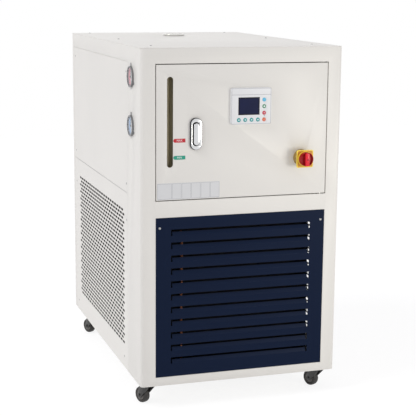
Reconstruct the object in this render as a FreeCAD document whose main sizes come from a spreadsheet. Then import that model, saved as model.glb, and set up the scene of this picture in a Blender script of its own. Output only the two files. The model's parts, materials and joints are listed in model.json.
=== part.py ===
import FreeCAD, Part
import os
import re
import Sketcher

# A heating and cooling circulator: a floor-standing sheet metal cabinet on four casters, with a
# control door above a louvered air intake, two gauges on its left side and a filler on top.
# Millimetres. X runs to the right seen from the front, Y to the back and Z up. The origin is on
# the floor under the middle of the cabinet.

SIZES = {
    # Cabinet
    "cabinet_width": 650,
    "cabinet_depth": 1010,
    "cabinet_height": 1050,
    "caster_height": 76,
    "sheet": 1.5,
    "corner_radius": 10,
    "cover_sheet": 2,
    "top_flange": 80,
    "panel_gap": 1,
    "lip_width": 20,
    "front_return": 163,
    "rear_return": 35,
    "top_band": 49,
    "seam_height": 587,
    "tray_sheet": 2,
    "tray_wall": 60,
    "shelf_height": 561,
    "shelf_flange": 70,
    # Perforated field of the lower side panels
    "field_front": 205,
    "field_rear": 115,
    "field_bottom": 77,
    "field_height": 452,
    "field_columns": 9,
    "field_rows": 3,
    "hole_size": 14,
    # Door and its window
    "window_width": 559,
    "window_bottom": 586.5,
    "window_height": 416,
    "window_flange": 16,
    "door_gap": 3,
    "door_depth": 14,
    "hinge_inset": 14,
    "pin_radius": 3,
    "pin_head": 5,
    "pin_clearance": 0.05,
    "boss_radius": 6,
    "boss_height": 12,
    "slot_offset": 233.5,
    "slot_width": 19,
    "slot_bottom": 689.5,
    "slot_height": 274,
    # Intake grille
    "grille_width": 555,
    "grille_bottom": 28,
    "grille_height": 507,
    "louver_count": 11,
    "louver_width": 458,
    "louver_bottom": 79,
    "louver_pitch": 40.8,
    "louver_height": 20,
    "louver_throw": 9,
    "louver_tip_gap": 3,
    # Latch
    "latch_offset": 152.5,
    "latch_middle": 790,
    "latch_width": 35,
    "latch_height": 96,
    "latch_proud": 7,
    "latch_body_width": 27,
    "latch_body_height": 84,
    "latch_body_depth": 24,
    "lever_width": 20,
    "lever_height": 69,
    "lever_depth": 9,
    "lever_proud": 3,
    "lever_clearance": 0.5,
    "latch_pocket_depth": 18,
    "lever_pin_radius": 2,
    "spindle_radius": 5,
    "cam_length": 42,
    "cam_width": 16,
    "cam_sheet": 3,
    # Controller
    "controller_offset": 22.5,
    "controller_middle": 871,
    "controller_width": 131,
    "controller_height": 112,
    "controller_proud": 8,
    "controller_radius": 8,
    "controller_body_width": 116,
    "controller_body_height": 98,
    "controller_body_depth": 50,
    "title_band": 21.5,
    "display_left": 23.5,
    "display_top": 29,
    "display_width": 69,
    "display_height": 54,
    "display_depth": 1.5,
    "key_radius": 6,
    "key_clearance": 0.3,
    "key_proud": 1.2,
    "key_length": 5,
    "key_travel": 0.8,
    "key_column": 42,
    "key_column_top": 19,
    "key_column_pitch": 20.3,
    "key_row": 42,
    "key_row_start": 40,
    "key_row_pitch": 20.6,
    # Isolator
    "isolator_offset": 193,
    "isolator_middle": 705.5,
    "isolator_base_radius": 25,
    "isolator_base_depth": 30,
    "isolator_neck_size": 28,
    "isolator_plate_size": 54.5,
    "isolator_plate_sheet": 4,
    "isolator_collar_radius": 23.5,
    "isolator_collar_depth": 2,
    "isolator_body_size": 46,
    "isolator_body_depth": 44,
    "knob_radius": 22,
    "knob_depth": 14,
    "knob_rim": 3,
    "knob_recess": 6,
    "knob_grip_width": 12,
    "knob_grip_rise": 8,
    "knob_shaft_radius": 4,
    "knob_shaft_length": 20,
    "knob_gap": 0.3,
    # Gauges on the left side
    "gauge_inset": 112,
    "gauge_upper": 957,
    "gauge_lower": 807,
    "gauge_radius": 32.5,
    "gauge_proud": 6,
    "gauge_can_radius": 30,
    "gauge_can_depth": 28,
    "gauge_recess_radius": 28.5,
    "gauge_recess_depth": 5,
    "gauge_lens_sheet": 1.5,
    "gauge_lug_reach": 42,
    "gauge_lug_width": 14,
    "gauge_lug_sheet": 1.5,
    "gauge_lug_tip": 7,
    "can_gap": 0.5,
    "pointer_length": 22,
    "pointer_tail": 5.5,
    "pointer_width": 2,
    "pointer_tip": 1,
    "pointer_sheet": 0.8,
    "pointer_hub_radius": 3.5,
    "pointer_pivot_radius": 1.5,
    # Filler
    "filler_offset": 7,
    "filler_depth": 235,
    "neck_radius": 30,
    "neck_wall": 3,
    "neck_flange_radius": 35,
    "neck_flange_sheet": 1.5,
    "cap_radius": 38,
    "cap_height": 5,
    "cap_bevel": 1.25,
    "cap_gap": 0.3,
    "cap_plug_height": 12,
    "cap_wall": 3,
    # Casters
    "caster_inset": 35,
    "caster_front": 445,
    "caster_rear": 350,
    "plate_width": 60,
    "plate_depth": 86,
    "plate_sheet": 2.5,
    "race_radius": 20,
    "race_height": 7,
    "kingpin_radius": 5,
    "kingpin_head_radius": 8,
    "kingpin_head_height": 2,
    "swivel_gap": 0.3,
    "fork_crown": 3,
    "fork_cheek": 9,
    "fork_sheet": 2.5,
    "fork_inner_width": 24,
    "fork_foot_radius": 9,
    "wheel_radius": 26,
    "wheel_width": 21,
    "wheel_bevel": 3.5,
    "wheel_trail": 22,
    "axle_radius": 4,
    "caster_swing": 25,
    # Inside, above the shelf
    "tank_clearance": 170,
    "tank_depth": 300,
    "tank_height": 437,
    "tank_radius": 15,
    "electrical_width": 120,
    "electrical_depth": 420,
    "electrical_height": 330,
    "electrical_inset": 85,
    "electrical_back": 150,
    "post_width": 24,
    "post_sheet": 3,
    "post_front": 468,
    "clamp_depth": 17,
    "clamp_height": 18,
    "sight_radius": 7,
    "sight_bottom": 681,
    "sight_height": 291,
    # Inside, below the shelf
    "condenser_inset": 75,
    "condenser_depth": 50,
    "condenser_height": 490,
    "condenser_front": 440,
    "condenser_end_sheet": 2,
    "bend_count": 8,
    "bend_pitch": 58,
    "bend_reach": 22,
    "bend_tube_radius": 5,
    "shroud_size": 440,
    "shroud_sheet": 2,
    "duct_radius": 178,
    "duct_wall": 2,
    "duct_depth": 52,
    "fan_radius": 170,
    "fan_hub_radius": 42,
    "fan_hub_depth": 34,
    "blade_count": 5,
    "blade_chord": 62,
    "blade_sheet": 3,
    "blade_angle": 28,
    "blade_root": 4,
    "fan_shaft_radius": 5,
    "fan_shaft_length": 18,
    "fan_motor_radius": 45,
    "fan_motor_depth": 60,
    "strut_width": 14,
    "strut_sheet": 6,
    "compressor_inset": 175,
    "compressor_back": 210,
    "compressor_radius": 85,
    "compressor_height": 250,
    "compressor_dome": 30,
    "compressor_foot": 190,
    "compressor_foot_sheet": 5,
    "compressor_foot_corner": 15,
    "pump_inset": 195,
    "pump_back": 20,
    "pump_radius": 62,
    "pump_length": 230,
    "pump_head_radius": 75,
    "pump_head_length": 50,
    "pump_foot_width": 110,
    "pump_foot_length": 138,
    "pump_axis_height": 90,
    "exchanger_width": 110,
    "exchanger_depth": 90,
    "exchanger_height": 320,
    "exchanger_inset": 155,
    "exchanger_back": 380,
    "exchanger_port_radius": 12,
    "exchanger_port_length": 25,
    "exchanger_port_inset": 28,
    "exchanger_port_rise": 38,
    # Rear wall
    "rear_window_inset": 45,
    "port_spacing": 120,
    "port_height": 790,
    "port_radius": 13,
    "port_bore_radius": 8,
    "port_reach": 58,
    "port_collar_radius": 20,
    "port_collar_depth": 8,
    "port_inner": 30,
    "fitting_gap": 0.25,
    "drain_offset": 200,
    "drain_height": 150,
    "drain_radius": 10,
    "drain_reach": 55,
    "drain_bore_radius": 6,
    "drain_bore_depth": 14,
    "drain_block": 26,
    "drain_stem_radius": 4,
    "drain_stem_height": 10,
    "handle_length": 62,
    "handle_width": 12,
    "handle_sheet": 3,
    "gland_offset": 200,
    "gland_height": 150,
    "gland_radius": 12,
    "gland_bore_radius": 5,
    "gland_hex_radius": 16,
    "gland_hex_depth": 7,
    "gland_dome_depth": 16,
    "gland_dome_radius": 14,
    "gland_tip_radius": 9,
    "vent_count": 9,
    "vent_width": 360,
    "vent_height": 8,
    "vent_pitch": 34,
    "vent_bottom": 120,
}

AXES = {"X": "YZ_Plane", "Y": "XZ_Plane", "Z": "XY_Plane"}

doc = FreeCAD.newDocument("circulator")
sizes = doc.addObject("Spreadsheet::Sheet", "Sizes")
for row, (alias, value) in enumerate(SIZES.items(), 1):
    sizes.set(f"A{row}", alias)
    sizes.set(f"B{row}", str(value))
    sizes.setAlias(f"B{row}", alias)
doc.recompute()
reader = doc.addObject("App::FeaturePython", "Reader")
parts = []


def bound(text):
    """The text of a size with every alias written as a cell of the sheet."""
    def cell(match):
        word = match.group()
        return f"Sizes.{word}" if word in SIZES else word
    return re.sub(r"[a-z][a-z_]*", cell, str(text))


def number(text):
    """The value that such a text has now."""
    value = reader.evalExpression(bound(text))
    return float(getattr(value, "Value", value))


def place(thing, x="0", y="0", z="0", turn=None):
    """Seat an object at a bound place, turned first by an axis and an angle."""
    if turn:
        thing.Placement = FreeCAD.Placement(FreeCAD.Vector(), FreeCAD.Rotation(*turn))
    for axis, text in zip("xyz", (x, y, z)):
        thing.setExpression(f"Placement.Base.{axis}", bound(text))
    return thing


def part(thing, label):
    """Take an object as a finished sub-part."""
    thing.Label = label
    parts.append(thing)
    return thing


def new_body(label, x="0", y="0", z="0", turn=None):
    """An empty body that will be a sub-part."""
    body = doc.addObject("PartDesign::Body", label + "_body")
    place(body, x, y, z, turn)
    return part(body, label)


def sketch(body, name, normal, offset="0"):
    """An empty sketch square to an axis of the body, moved along that axis."""
    made = body.newObject("Sketcher::SketchObject", name)
    planes = body.Origin.OriginFeatures
    made.AttachmentSupport = [(next(p for p in planes if p.Role == AXES[normal]), "")]
    made.MapMode = "FlatFace"
    sign = "-" if normal == "Y" else ""
    made.setExpression("AttachmentOffset.Base.z", bound(f"{sign}({offset})"))
    return made


def tie(made, kind, where, text):
    """One constraint of a sketch, bound to the sheet."""
    row = made.addConstraint(Sketcher.Constraint(kind, *where, number(text)))
    made.setExpression(f"Constraints[{row}]", bound(text))


def add_outline(made, points):
    """A closed outline of straight lines through bound points."""
    first = made.GeometryCount
    spots = [FreeCAD.Vector(number(u), number(v), 0) for u, v in points]
    for start, end in zip(spots, spots[1:] + spots[:1]):
        made.addGeometry(Part.LineSegment(start, end))
    last = made.GeometryCount - 1
    for line in range(first, last + 1):
        follower = line + 1 if line < last else first
        made.addConstraint(Sketcher.Constraint("Coincident", line, 2, follower, 1))
    for line, (u, v) in enumerate(points, first):
        tie(made, "DistanceX", (-1, 1, line, 1), u)
        tie(made, "DistanceY", (-1, 1, line, 1), v)


def add_box(made, left, low, width, rise):
    """A bound rectangle by its lower left corner, width and height."""
    right = f"({left}) + ({width})"
    high = f"({low}) + ({rise})"
    add_outline(made, [(left, low), (right, low), (right, high), (left, high)])


def add_circle(made, u, v, radius):
    """A bound circle."""
    centre = FreeCAD.Vector(number(u), number(v), 0)
    circle = made.addGeometry(Part.Circle(centre, FreeCAD.Vector(0, 0, 1), number(radius)))
    tie(made, "Radius", (circle,), radius)
    tie(made, "DistanceX", (-1, 1, circle, 3), u)
    tie(made, "DistanceY", (-1, 1, circle, 3), v)


def add_polygon(made, u, v, radius, sides):
    """A bound regular outline about a centre, by its corners' radius."""
    add_outline(made, [
        (f"({u}) + ({radius}) * cos({360 / sides * corner})",
         f"({v}) + ({radius}) * sin({360 / sides * corner})")
        for corner in range(sides)
    ])


def pad(body, made, length, back=False, middle=False):
    """Add a sketch's outline to the body, along its normal or against it."""
    feature = body.newObject("PartDesign::Pad", made.Name + "_pad")
    feature.Profile = made
    feature.setExpression("Length", bound(length))
    feature.Reversed = back
    feature.Midplane = middle
    doc.recompute()
    return feature


def pocket(body, made, length=None, back=False, middle=False):
    """Cut a sketch's outline from the body, right through where no length is given."""
    before = body.Shape.Volume
    feature = body.newObject("PartDesign::Pocket", made.Name + "_cut")
    feature.Profile = made
    if length is None:
        feature.Type = 1
    else:
        feature.setExpression("Length", bound(length))
    feature.Reversed = back
    feature.Midplane = middle
    doc.recompute()
    if body.Shape.Volume >= before:
        raise RuntimeError(f"{feature.Name} cuts nothing")
    return feature


def repeated(body, features, made, axis, count, pitch):
    """Repeat features along an axis of a sketch."""
    pattern = body.newObject("PartDesign::LinearPattern", features[0].Name + "_row")
    pattern.Originals = features
    pattern.Direction = (made, [axis])
    pattern.setExpression("Occurrences", bound(count))
    pattern.setExpression("Length", bound(f"({pitch}) * ({count} - 1)"))
    body.Tip = pattern
    doc.recompute()
    return pattern


def edges_along(shape, direction, wanted=lambda centre: True):
    """Names of the straight edges along a direction whose centre is wanted."""
    names = []
    for index, edge in enumerate(shape.Edges, 1):
        if edge.Curve.TypeId != "Part::GeomLine":
            continue
        along = abs(edge.tangentAt(edge.FirstParameter).dot(direction))
        if along > 0.999 and wanted(edge.CenterOfMass):
            names.append(f"Edge{index}")
    return names


def rounded(body, feature, names, radius):
    """Round the named edges of a feature."""
    fillet = body.newObject("PartDesign::Fillet", feature.Name + "_round")
    fillet.Base = (feature, names)
    fillet.setExpression("Radius", bound(radius))
    doc.recompute()
    return fillet


def bevel_rims(body, feature, axis, spot, size):
    """Bevel every edge that lies in the plane at a spot along an axis."""
    level = number(spot)
    names = []
    for index, edge in enumerate(feature.Shape.Edges, 1):
        box = edge.BoundBox
        low = getattr(box, axis + "Min")
        high = getattr(box, axis + "Max")
        if abs(low - level) < 0.01 and abs(high - level) < 0.01:
            names.append(f"Edge{index}")
    bevel = body.newObject("PartDesign::Chamfer", feature.Name + "_bevel")
    bevel.Base = (feature, names)
    bevel.setExpression("Size", bound(size))
    doc.recompute()
    return bevel


def cylinder(name, radius, height, x="0", y="0", z="0", turn=None):
    """A bound cylinder that stands on its place, along Z unless turned."""
    made = doc.addObject("Part::Cylinder", name)
    made.setExpression("Radius", bound(radius))
    made.setExpression("Height", bound(height))
    return place(made, x, y, z, turn)


def block(name, length, width, height, x="0", y="0", z="0", turn=None):
    """A bound box by its lowest corner."""
    made = doc.addObject("Part::Box", name)
    made.setExpression("Length", bound(length))
    made.setExpression("Width", bound(width))
    made.setExpression("Height", bound(height))
    return place(made, x, y, z, turn)


def prism(name, radius, height, x="0", y="0", z="0", turn=None, sides=6):
    """A bound regular prism, a hexagon unless told, along Z unless turned."""
    made = doc.addObject("Part::Prism", name)
    made.Polygon = sides
    made.setExpression("Circumradius", bound(radius))
    made.setExpression("Height", bound(height))
    return place(made, x, y, z, turn)


def fuse(name, *pieces):
    """Pieces joined into one solid."""
    made = doc.addObject("Part::MultiFuse", name)
    made.Shapes = list(pieces)
    made.Refine = True
    return made


def cut(name, base, tool):
    """A piece with another taken out of it."""
    made = doc.addObject("Part::Cut", name)
    made.Base = base
    made.Tool = tool
    return made


RIGHT_ANGLE = 90
HALF_TURN = 180
UP = FreeCAD.Vector(0, 0, 1)
ALONG_X = FreeCAD.Vector(1, 0, 0)
ALONG_Y = FreeCAD.Vector(0, 1, 0)
TO_BACK = (ALONG_X, -RIGHT_ANGLE)
TO_FRONT = (ALONG_X, RIGHT_ANGLE)
TO_RIGHT = (ALONG_Y, RIGHT_ANGLE)

FRONT = "-cabinet_depth / 2"
REAR = "cabinet_depth / 2"
LEFT = "-cabinet_width / 2"
RIGHT = "cabinet_width / 2"
INNER_HALF = "cabinet_width / 2 - 2 * sheet"
SIDE_LENGTH = "cabinet_depth - front_return - rear_return"
SIDE_TOP = "cabinet_height - top_band"
WINDOW_TOP = "window_bottom + window_height"
DOOR_RIGHT = "window_width / 2 - door_gap"
DOOR_BOTTOM = "window_bottom + door_gap"
DOOR_HEIGHT = "window_height - 2 * door_gap"
HINGE_X = "window_width / 2 - door_gap - hinge_inset"
HINGE_Y = "-cabinet_depth / 2 + door_depth / 2"
SHELF_TOP = "shelf_height + sheet"
TANK_WIDTH = "(cabinet_width - 2 * tank_clearance)"
CONDENSER_WIDTH = "(cabinet_width - 2 * condenser_inset)"
PUMP_X = f"({RIGHT} - pump_inset)"

# A fillet just under half of a width rounds that end fully. Small, hidden and repeated rounds are
# drawn with this many flats.
FULL_ROUND = 0.495
SMALL_ROUND = 12


def around(radius):
    """The corner radius of a flat-sided bore that clears a pin."""
    return f"(({radius}) + pin_clearance) / cos({HALF_TURN / SMALL_ROUND})"


# The cabinet's welded body: front, sides and top flange in one folded wrap, with windows for the
# door, the grille and the screwed panels, and set-back lips that those panels rest on.
def cabinet_frame():
    body = new_body("cabinet_frame", z="caster_height")
    base = sketch(body, "frame_plan", "Z")
    add_box(base, LEFT, FRONT, "cabinet_width", "cabinet_depth")
    shell = pad(body, base, "cabinet_height - cover_sheet")
    corners = edges_along(shell.Shape, UP)
    shell = rounded(body, shell, corners, "corner_radius")
    bottom = next(
        f"Face{i}" for i, face in enumerate(shell.Shape.Faces, 1) if face.BoundBox.ZMax < 0.01
    )
    hollow = body.newObject("PartDesign::Thickness", "frame_hollow")
    hollow.Base = (shell, [bottom])
    hollow.setExpression("Value", bound("sheet"))
    hollow.Reversed = True
    doc.recompute()

    roof = sketch(body, "frame_roof", "Z", "cabinet_height - cover_sheet")
    add_box(roof, f"{LEFT} + top_flange", f"{FRONT} + top_flange",
            "cabinet_width - 2 * top_flange", "cabinet_depth - 2 * top_flange")
    pocket(body, roof, "2 * sheet")

    front = sketch(body, "frame_front", "Y", FRONT)
    add_box(front, "-window_width / 2", "window_bottom", "window_width", "window_height")
    add_box(front, "-grille_width / 2 - panel_gap", "grille_bottom - panel_gap",
            "grille_width + 2 * panel_gap", "grille_height + 2 * panel_gap")
    pocket(body, front, "2 * sheet")

    back = sketch(body, "frame_back", "Y", REAR)
    add_box(back, f"{LEFT} + rear_window_inset", "rear_window_inset",
            "cabinet_width - 2 * rear_window_inset",
            "cabinet_height - top_band - rear_window_inset")
    pocket(body, back, "2 * sheet", back=True)

    side = sketch(body, "frame_side", "X")
    add_box(side, f"{FRONT} + front_return", "-1", SIDE_LENGTH, f"{SIDE_TOP} + 1")
    pocket(body, side, middle=True)

    flange = sketch(body, "window_flange_ring", "Y", f"{FRONT} + sheet / 2")
    add_box(flange, "-window_width / 2 - sheet", "window_bottom - sheet",
            "window_width + 2 * sheet", "window_height + 2 * sheet")
    add_box(flange, "-window_width / 2", "window_bottom", "window_width", "window_height")
    pad(body, flange, "window_flange - sheet / 2", back=True)

    lip = sketch(body, "grille_lip", "Y", f"{FRONT} + sheet")
    add_box(lip, "-grille_width / 2 - panel_gap - lip_width / 2",
            "grille_bottom - panel_gap - lip_width / 2",
            "grille_width + 2 * panel_gap + lip_width",
            "grille_height + 2 * panel_gap + lip_width")
    add_box(lip, "-grille_width / 2 + lip_width", "grille_bottom + lip_width",
            "grille_width - 2 * lip_width", "grille_height - 2 * lip_width")
    pad(body, lip, "sheet", back=True)

    rear_lip = sketch(body, "rear_lip", "Y", f"{REAR} - sheet")
    add_box(rear_lip, f"{LEFT} + rear_window_inset - lip_width / 2",
            "rear_window_inset - lip_width / 2",
            "cabinet_width - 2 * rear_window_inset + lip_width",
            "cabinet_height - top_band - rear_window_inset + lip_width")
    add_box(rear_lip, f"{LEFT} + rear_window_inset + lip_width",
            "rear_window_inset + lip_width",
            "cabinet_width - 2 * rear_window_inset - 2 * lip_width",
            "cabinet_height - top_band - rear_window_inset - 2 * lip_width")
    pad(body, rear_lip, "sheet")

    arch = [
        (f"{FRONT} + front_return - lip_width / 2", "0"),
        (f"{FRONT} + front_return - lip_width / 2", f"{SIDE_TOP} + lip_width / 2"),
        (f"{REAR} - rear_return + lip_width / 2", f"{SIDE_TOP} + lip_width / 2"),
        (f"{REAR} - rear_return + lip_width / 2", "0"),
        (f"{REAR} - rear_return - lip_width", "0"),
        (f"{REAR} - rear_return - lip_width", f"{SIDE_TOP} - lip_width"),
        (f"{FRONT} + front_return + lip_width", f"{SIDE_TOP} - lip_width"),
        (f"{FRONT} + front_return + lip_width", "0"),
    ]
    for side_name, start in (("left", f"{LEFT} + sheet"), ("right", f"{RIGHT} - 2 * sheet")):
        side_lip = sketch(body, f"{side_name}_lip", "X", start)
        add_outline(side_lip, arch)
        pad(body, side_lip, "sheet")

    holes = sketch(body, "gauge_holes", "X", LEFT)
    for middle in ("gauge_upper", "gauge_lower"):
        add_circle(holes, f"{FRONT} + gauge_inset", middle, "gauge_can_radius + can_gap")
    pocket(body, holes, "2 * sheet", back=True)

    pins = sketch(body, "hinge_holes", "Z", "window_bottom - 2 * sheet")
    add_circle(pins, HINGE_X, HINGE_Y, "pin_radius + pin_clearance")
    pocket(body, pins, "window_height + 4 * sheet", back=True)


# The floor of the cabinet: a folded tray that carries the machinery and the casters.
def base_tray():
    body = new_body("base_tray", z="caster_height")
    plan = sketch(body, "tray_plan", "Z")
    add_box(plan, f"-({INNER_HALF})", f"{FRONT} + 2 * sheet",
            f"2 * ({INNER_HALF})", "cabinet_depth - 4 * sheet")
    solid = pad(body, plan, "tray_wall")
    solid = rounded(body, solid, edges_along(solid.Shape, UP), "corner_radius")
    top = next(
        f"Face{i}" for i, face in enumerate(solid.Shape.Faces, 1)
        if face.BoundBox.ZMin > number("tray_wall") - 0.01
    )
    hollow = body.newObject("PartDesign::Thickness", "tray_hollow")
    hollow.Base = (solid, [top])
    hollow.setExpression("Value", bound("tray_sheet"))
    hollow.Reversed = True
    doc.recompute()


# The cover lies on the top flange and has the filler's hole.
def top_cover():
    body = new_body("top_cover", z="caster_height + cabinet_height - cover_sheet")
    plan = sketch(body, "cover_plan", "Z")
    add_box(plan, LEFT, FRONT, "cabinet_width", "cabinet_depth")
    plate = pad(body, plan, "cover_sheet")
    plate = rounded(body, plate, edges_along(plate.Shape, UP), "corner_radius")
    hole = sketch(body, "cover_hole", "Z", "cover_sheet")
    add_circle(hole, "-filler_offset", "filler_depth", "neck_radius + can_gap")
    pocket(body, hole)


# The shelf between the wet bay above and the machinery below, folded up and down at both sides,
# with the post and the two clamps that hold the sight tube behind the door's slot.
def equipment_shelf():
    body = new_body("equipment_shelf", z="caster_height")
    profile = sketch(body, "shelf_profile", "Y", f"{FRONT} + corner_radius + 2 * sheet")
    outer = INNER_HALF
    inner = f"{INNER_HALF} - sheet"
    high = "shelf_height + shelf_flange"
    low = "shelf_height - shelf_flange"
    add_outline(profile, [
        (f"-({outer})", low), (f"-({inner})", low), (f"-({inner})", "shelf_height"),
        (inner, "shelf_height"), (inner, low), (outer, low), (outer, high), (inner, high),
        (inner, SHELF_TOP), (f"-({inner})", SHELF_TOP), (f"-({inner})", high),
        (f"-({outer})", high),
    ])
    pad(body, profile, "cabinet_depth - 2 * corner_radius - 4 * sheet", back=True)
    post = sketch(body, "post_plan", "Z", "shelf_height")
    add_box(post, "-slot_offset - post_width / 2", "-post_front", "post_width", "post_sheet")
    pad(body, post, "sight_bottom + sight_height + clamp_height - shelf_height")
    for name, level in (("lower", "sight_bottom - clamp_height"),
                        ("upper", "sight_bottom + sight_height")):
        clamp = sketch(body, f"{name}_clamp", "Z", level)
        add_box(clamp, "-slot_offset - post_width / 2", "-post_front - clamp_depth",
                "post_width", "clamp_depth + post_sheet / 2")
        pad(body, clamp, "clamp_height")


# The level gauge's tube, seen through the slot in the door.
def sight_tube():
    tube = cylinder("sight_glass", "sight_radius", "sight_height", "-slot_offset",
                    "-post_front - clamp_depth / 2", "caster_height + sight_bottom")
    part(tube, "sight_tube")


# The screwed side panels: plain ones above the seam, perforated ones below it.
def side_panels():
    for side, start in (("left", LEFT), ("right", f"{RIGHT} - sheet")):
        front = f"{FRONT} + front_return + panel_gap"
        length = f"{SIDE_LENGTH} - 2 * panel_gap"

        upper = new_body(f"{side}_upper_panel", x=start, z="caster_height")
        face = sketch(upper, f"{side}_upper_face", "X")
        add_box(face, front, "seam_height + panel_gap / 2", length,
                f"{SIDE_TOP} - seam_height - 1.5 * panel_gap")
        pad(upper, face, "sheet")

        lower = new_body(f"{side}_lower_panel", x=start, z="caster_height")
        face = sketch(lower, f"{side}_lower_face", "X")
        add_box(face, front, "0", length, "seam_height - panel_gap / 2")
        pad(lower, face, "sheet")
        first = f"{FRONT} + field_front"
        span = "cabinet_depth - field_front - field_rear"
        pitch = f"({span}) / (field_columns + 0.5)"
        rise = "field_height / (2 * field_rows)"
        holes = sketch(lower, f"{side}_holes", "X", "sheet")
        for step, level in ((0.5, 0.5), (1, 1.5)):
            across = f"{first} + {pitch} * {step}"
            up = f"field_bottom + {rise} * {level}"
            add_polygon(holes, across, up, "hole_size", 6)
        cut_pair = pocket(lower, holes)
        grid = lower.newObject("PartDesign::MultiTransform", f"{side}_field")
        grid.Originals = [cut_pair]
        row = lower.newObject("PartDesign::LinearPattern", f"{side}_field_row")
        row.Direction = (holes, ["H_Axis"])
        row.setExpression("Occurrences", bound("field_columns"))
        row.setExpression("Length", bound(f"{pitch} * (field_columns - 1)"))
        column = lower.newObject("PartDesign::LinearPattern", f"{side}_field_column")
        column.Direction = (holes, ["V_Axis"])
        column.setExpression("Occurrences", bound("field_rows"))
        column.setExpression("Length", bound(f"2 * {rise} * (field_rows - 1)"))
        grid.Transformations = [row, column]
        lower.Tip = grid
        doc.recompute()


# The two rear panels: the upper one carries the hose ports, the lower one the vent slots, the
# drain valve and the cable gland.
def rear_panels():
    width = "cabinet_width - 2 * rear_window_inset - 2 * panel_gap"
    left = f"{LEFT} + rear_window_inset + panel_gap"

    upper = new_body("rear_upper_panel", z="caster_height")
    face = sketch(upper, "rear_upper_face", "Y", REAR)
    add_box(face, left, "seam_height + panel_gap / 2", width,
            f"{SIDE_TOP} - seam_height - 1.5 * panel_gap")
    pad(upper, face, "sheet")
    holes = sketch(upper, "port_holes", "Y", REAR)
    for sign in ("-", ""):
        add_circle(holes, f"{sign}port_spacing / 2", "port_height", "port_radius + fitting_gap")
    pocket(upper, holes, "2 * sheet", back=True)

    lower = new_body("rear_lower_panel", z="caster_height")
    face = sketch(lower, "rear_lower_face", "Y", REAR)
    add_box(face, left, "rear_window_inset + panel_gap", width,
            "seam_height - rear_window_inset - 1.5 * panel_gap")
    pad(lower, face, "sheet")
    holes = sketch(lower, "rear_holes", "Y", REAR)
    add_circle(holes, "-drain_offset", "drain_height", "drain_radius + fitting_gap")
    add_circle(holes, "gland_offset", "gland_height", "gland_radius + fitting_gap")
    pocket(lower, holes, "2 * sheet", back=True)
    vent = sketch(lower, "vent_slot", "Y", REAR)
    add_box(vent, "-vent_width / 2", "seam_height - vent_bottom - vent_height",
            "vent_width", "vent_height")
    slot = pocket(lower, vent, "2 * sheet", back=True)
    row = repeated(lower, [slot], vent, "V_Axis", "vent_count", "vent_pitch")
    row.Reversed = True
    doc.recompute()


# The air intake: one pressed sheet whose louvers are cut free at the top and both ends and bent
# inwards about their lower edge.
def front_grille():
    body = new_body("front_grille", z="caster_height")
    face = sketch(body, "grille_face", "Y", FRONT)
    add_box(face, "-grille_width / 2", "grille_bottom", "grille_width", "grille_height")
    pad(body, face, "sheet", back=True)
    opening = sketch(body, "louver_opening", "Y", FRONT)
    add_box(opening, "-louver_width / 2", "louver_bottom", "louver_width", "louver_height")
    hole = pocket(body, opening, "2 * sheet", back=False)
    blade = sketch(body, "louver_blade", "X")
    tip = "louver_bottom + louver_height - louver_tip_gap"
    add_outline(blade, [
        (FRONT, "louver_bottom"), (f"{FRONT} + sheet", "louver_bottom"),
        (f"{FRONT} + sheet + louver_throw", tip), (f"{FRONT} + louver_throw", tip),
    ])
    leaf = pad(body, blade, "louver_width - 2 * panel_gap", middle=True)
    repeated(body, [hole, leaf], opening, "V_Axis", "louver_count", "louver_pitch")


# The control door: a folded pan with a hinge boss at each end of its right edge and openings for
# the level slot, the latch, the controller and the isolator.
def front_door():
    body = new_body("front_door", z="caster_height")
    face = sketch(body, "door_face", "Y", FRONT)
    add_box(face, f"-({DOOR_RIGHT})", DOOR_BOTTOM, f"2 * ({DOOR_RIGHT})", DOOR_HEIGHT)
    solid = pad(body, face, "door_depth", back=True)
    rear = next(
        f"Face{i}" for i, f in enumerate(solid.Shape.Faces, 1)
        if f.BoundBox.YMin > number(f"{FRONT} + door_depth") - 0.01
    )
    pan = body.newObject("PartDesign::Thickness", "door_pan")
    pan.Base = (solid, [rear])
    pan.setExpression("Value", bound("sheet"))
    pan.Reversed = True
    doc.recompute()
    for name, level in (("lower", DOOR_BOTTOM),
                        ("upper", f"{DOOR_BOTTOM} + {DOOR_HEIGHT} - boss_height")):
        boss = sketch(body, f"{name}_boss", "Z", level)
        add_circle(boss, HINGE_X, HINGE_Y, "boss_radius")
        pad(body, boss, "boss_height")
    bore = sketch(body, "hinge_bore", "Z", DOOR_BOTTOM)
    add_circle(bore, HINGE_X, HINGE_Y, "pin_radius + pin_clearance")
    pocket(body, bore, back=True)
    level = sketch(body, "level_slot", "Y", FRONT)
    add_box(level, "-slot_offset - slot_width / 2", "slot_bottom", "slot_width", "slot_height")
    slot = pocket(body, level, "2 * sheet")
    ends = edges_along(
        slot.Shape, ALONG_Y,
        lambda c: abs(c.x + number("slot_offset")) < number("slot_width")
        and number("slot_bottom") - 1 < c.z < number("slot_bottom + slot_height") + 1,
    )
    rounded(body, slot, ends, f"slot_width * {FULL_ROUND}")
    fittings = sketch(body, "door_cutouts", "Y", FRONT)
    add_box(fittings, "-latch_offset - latch_body_width / 2",
            "latch_middle - latch_body_height / 2", "latch_body_width", "latch_body_height")
    add_box(fittings, "controller_offset - controller_body_width / 2",
            "controller_middle - controller_body_height / 2",
            "controller_body_width", "controller_body_height")
    add_box(fittings, "isolator_offset - isolator_neck_size / 2 - panel_gap",
            "isolator_middle - isolator_neck_size / 2 - panel_gap",
            "isolator_neck_size + 2 * panel_gap", "isolator_neck_size + 2 * panel_gap")
    pocket(body, fittings, "2 * sheet")


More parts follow.
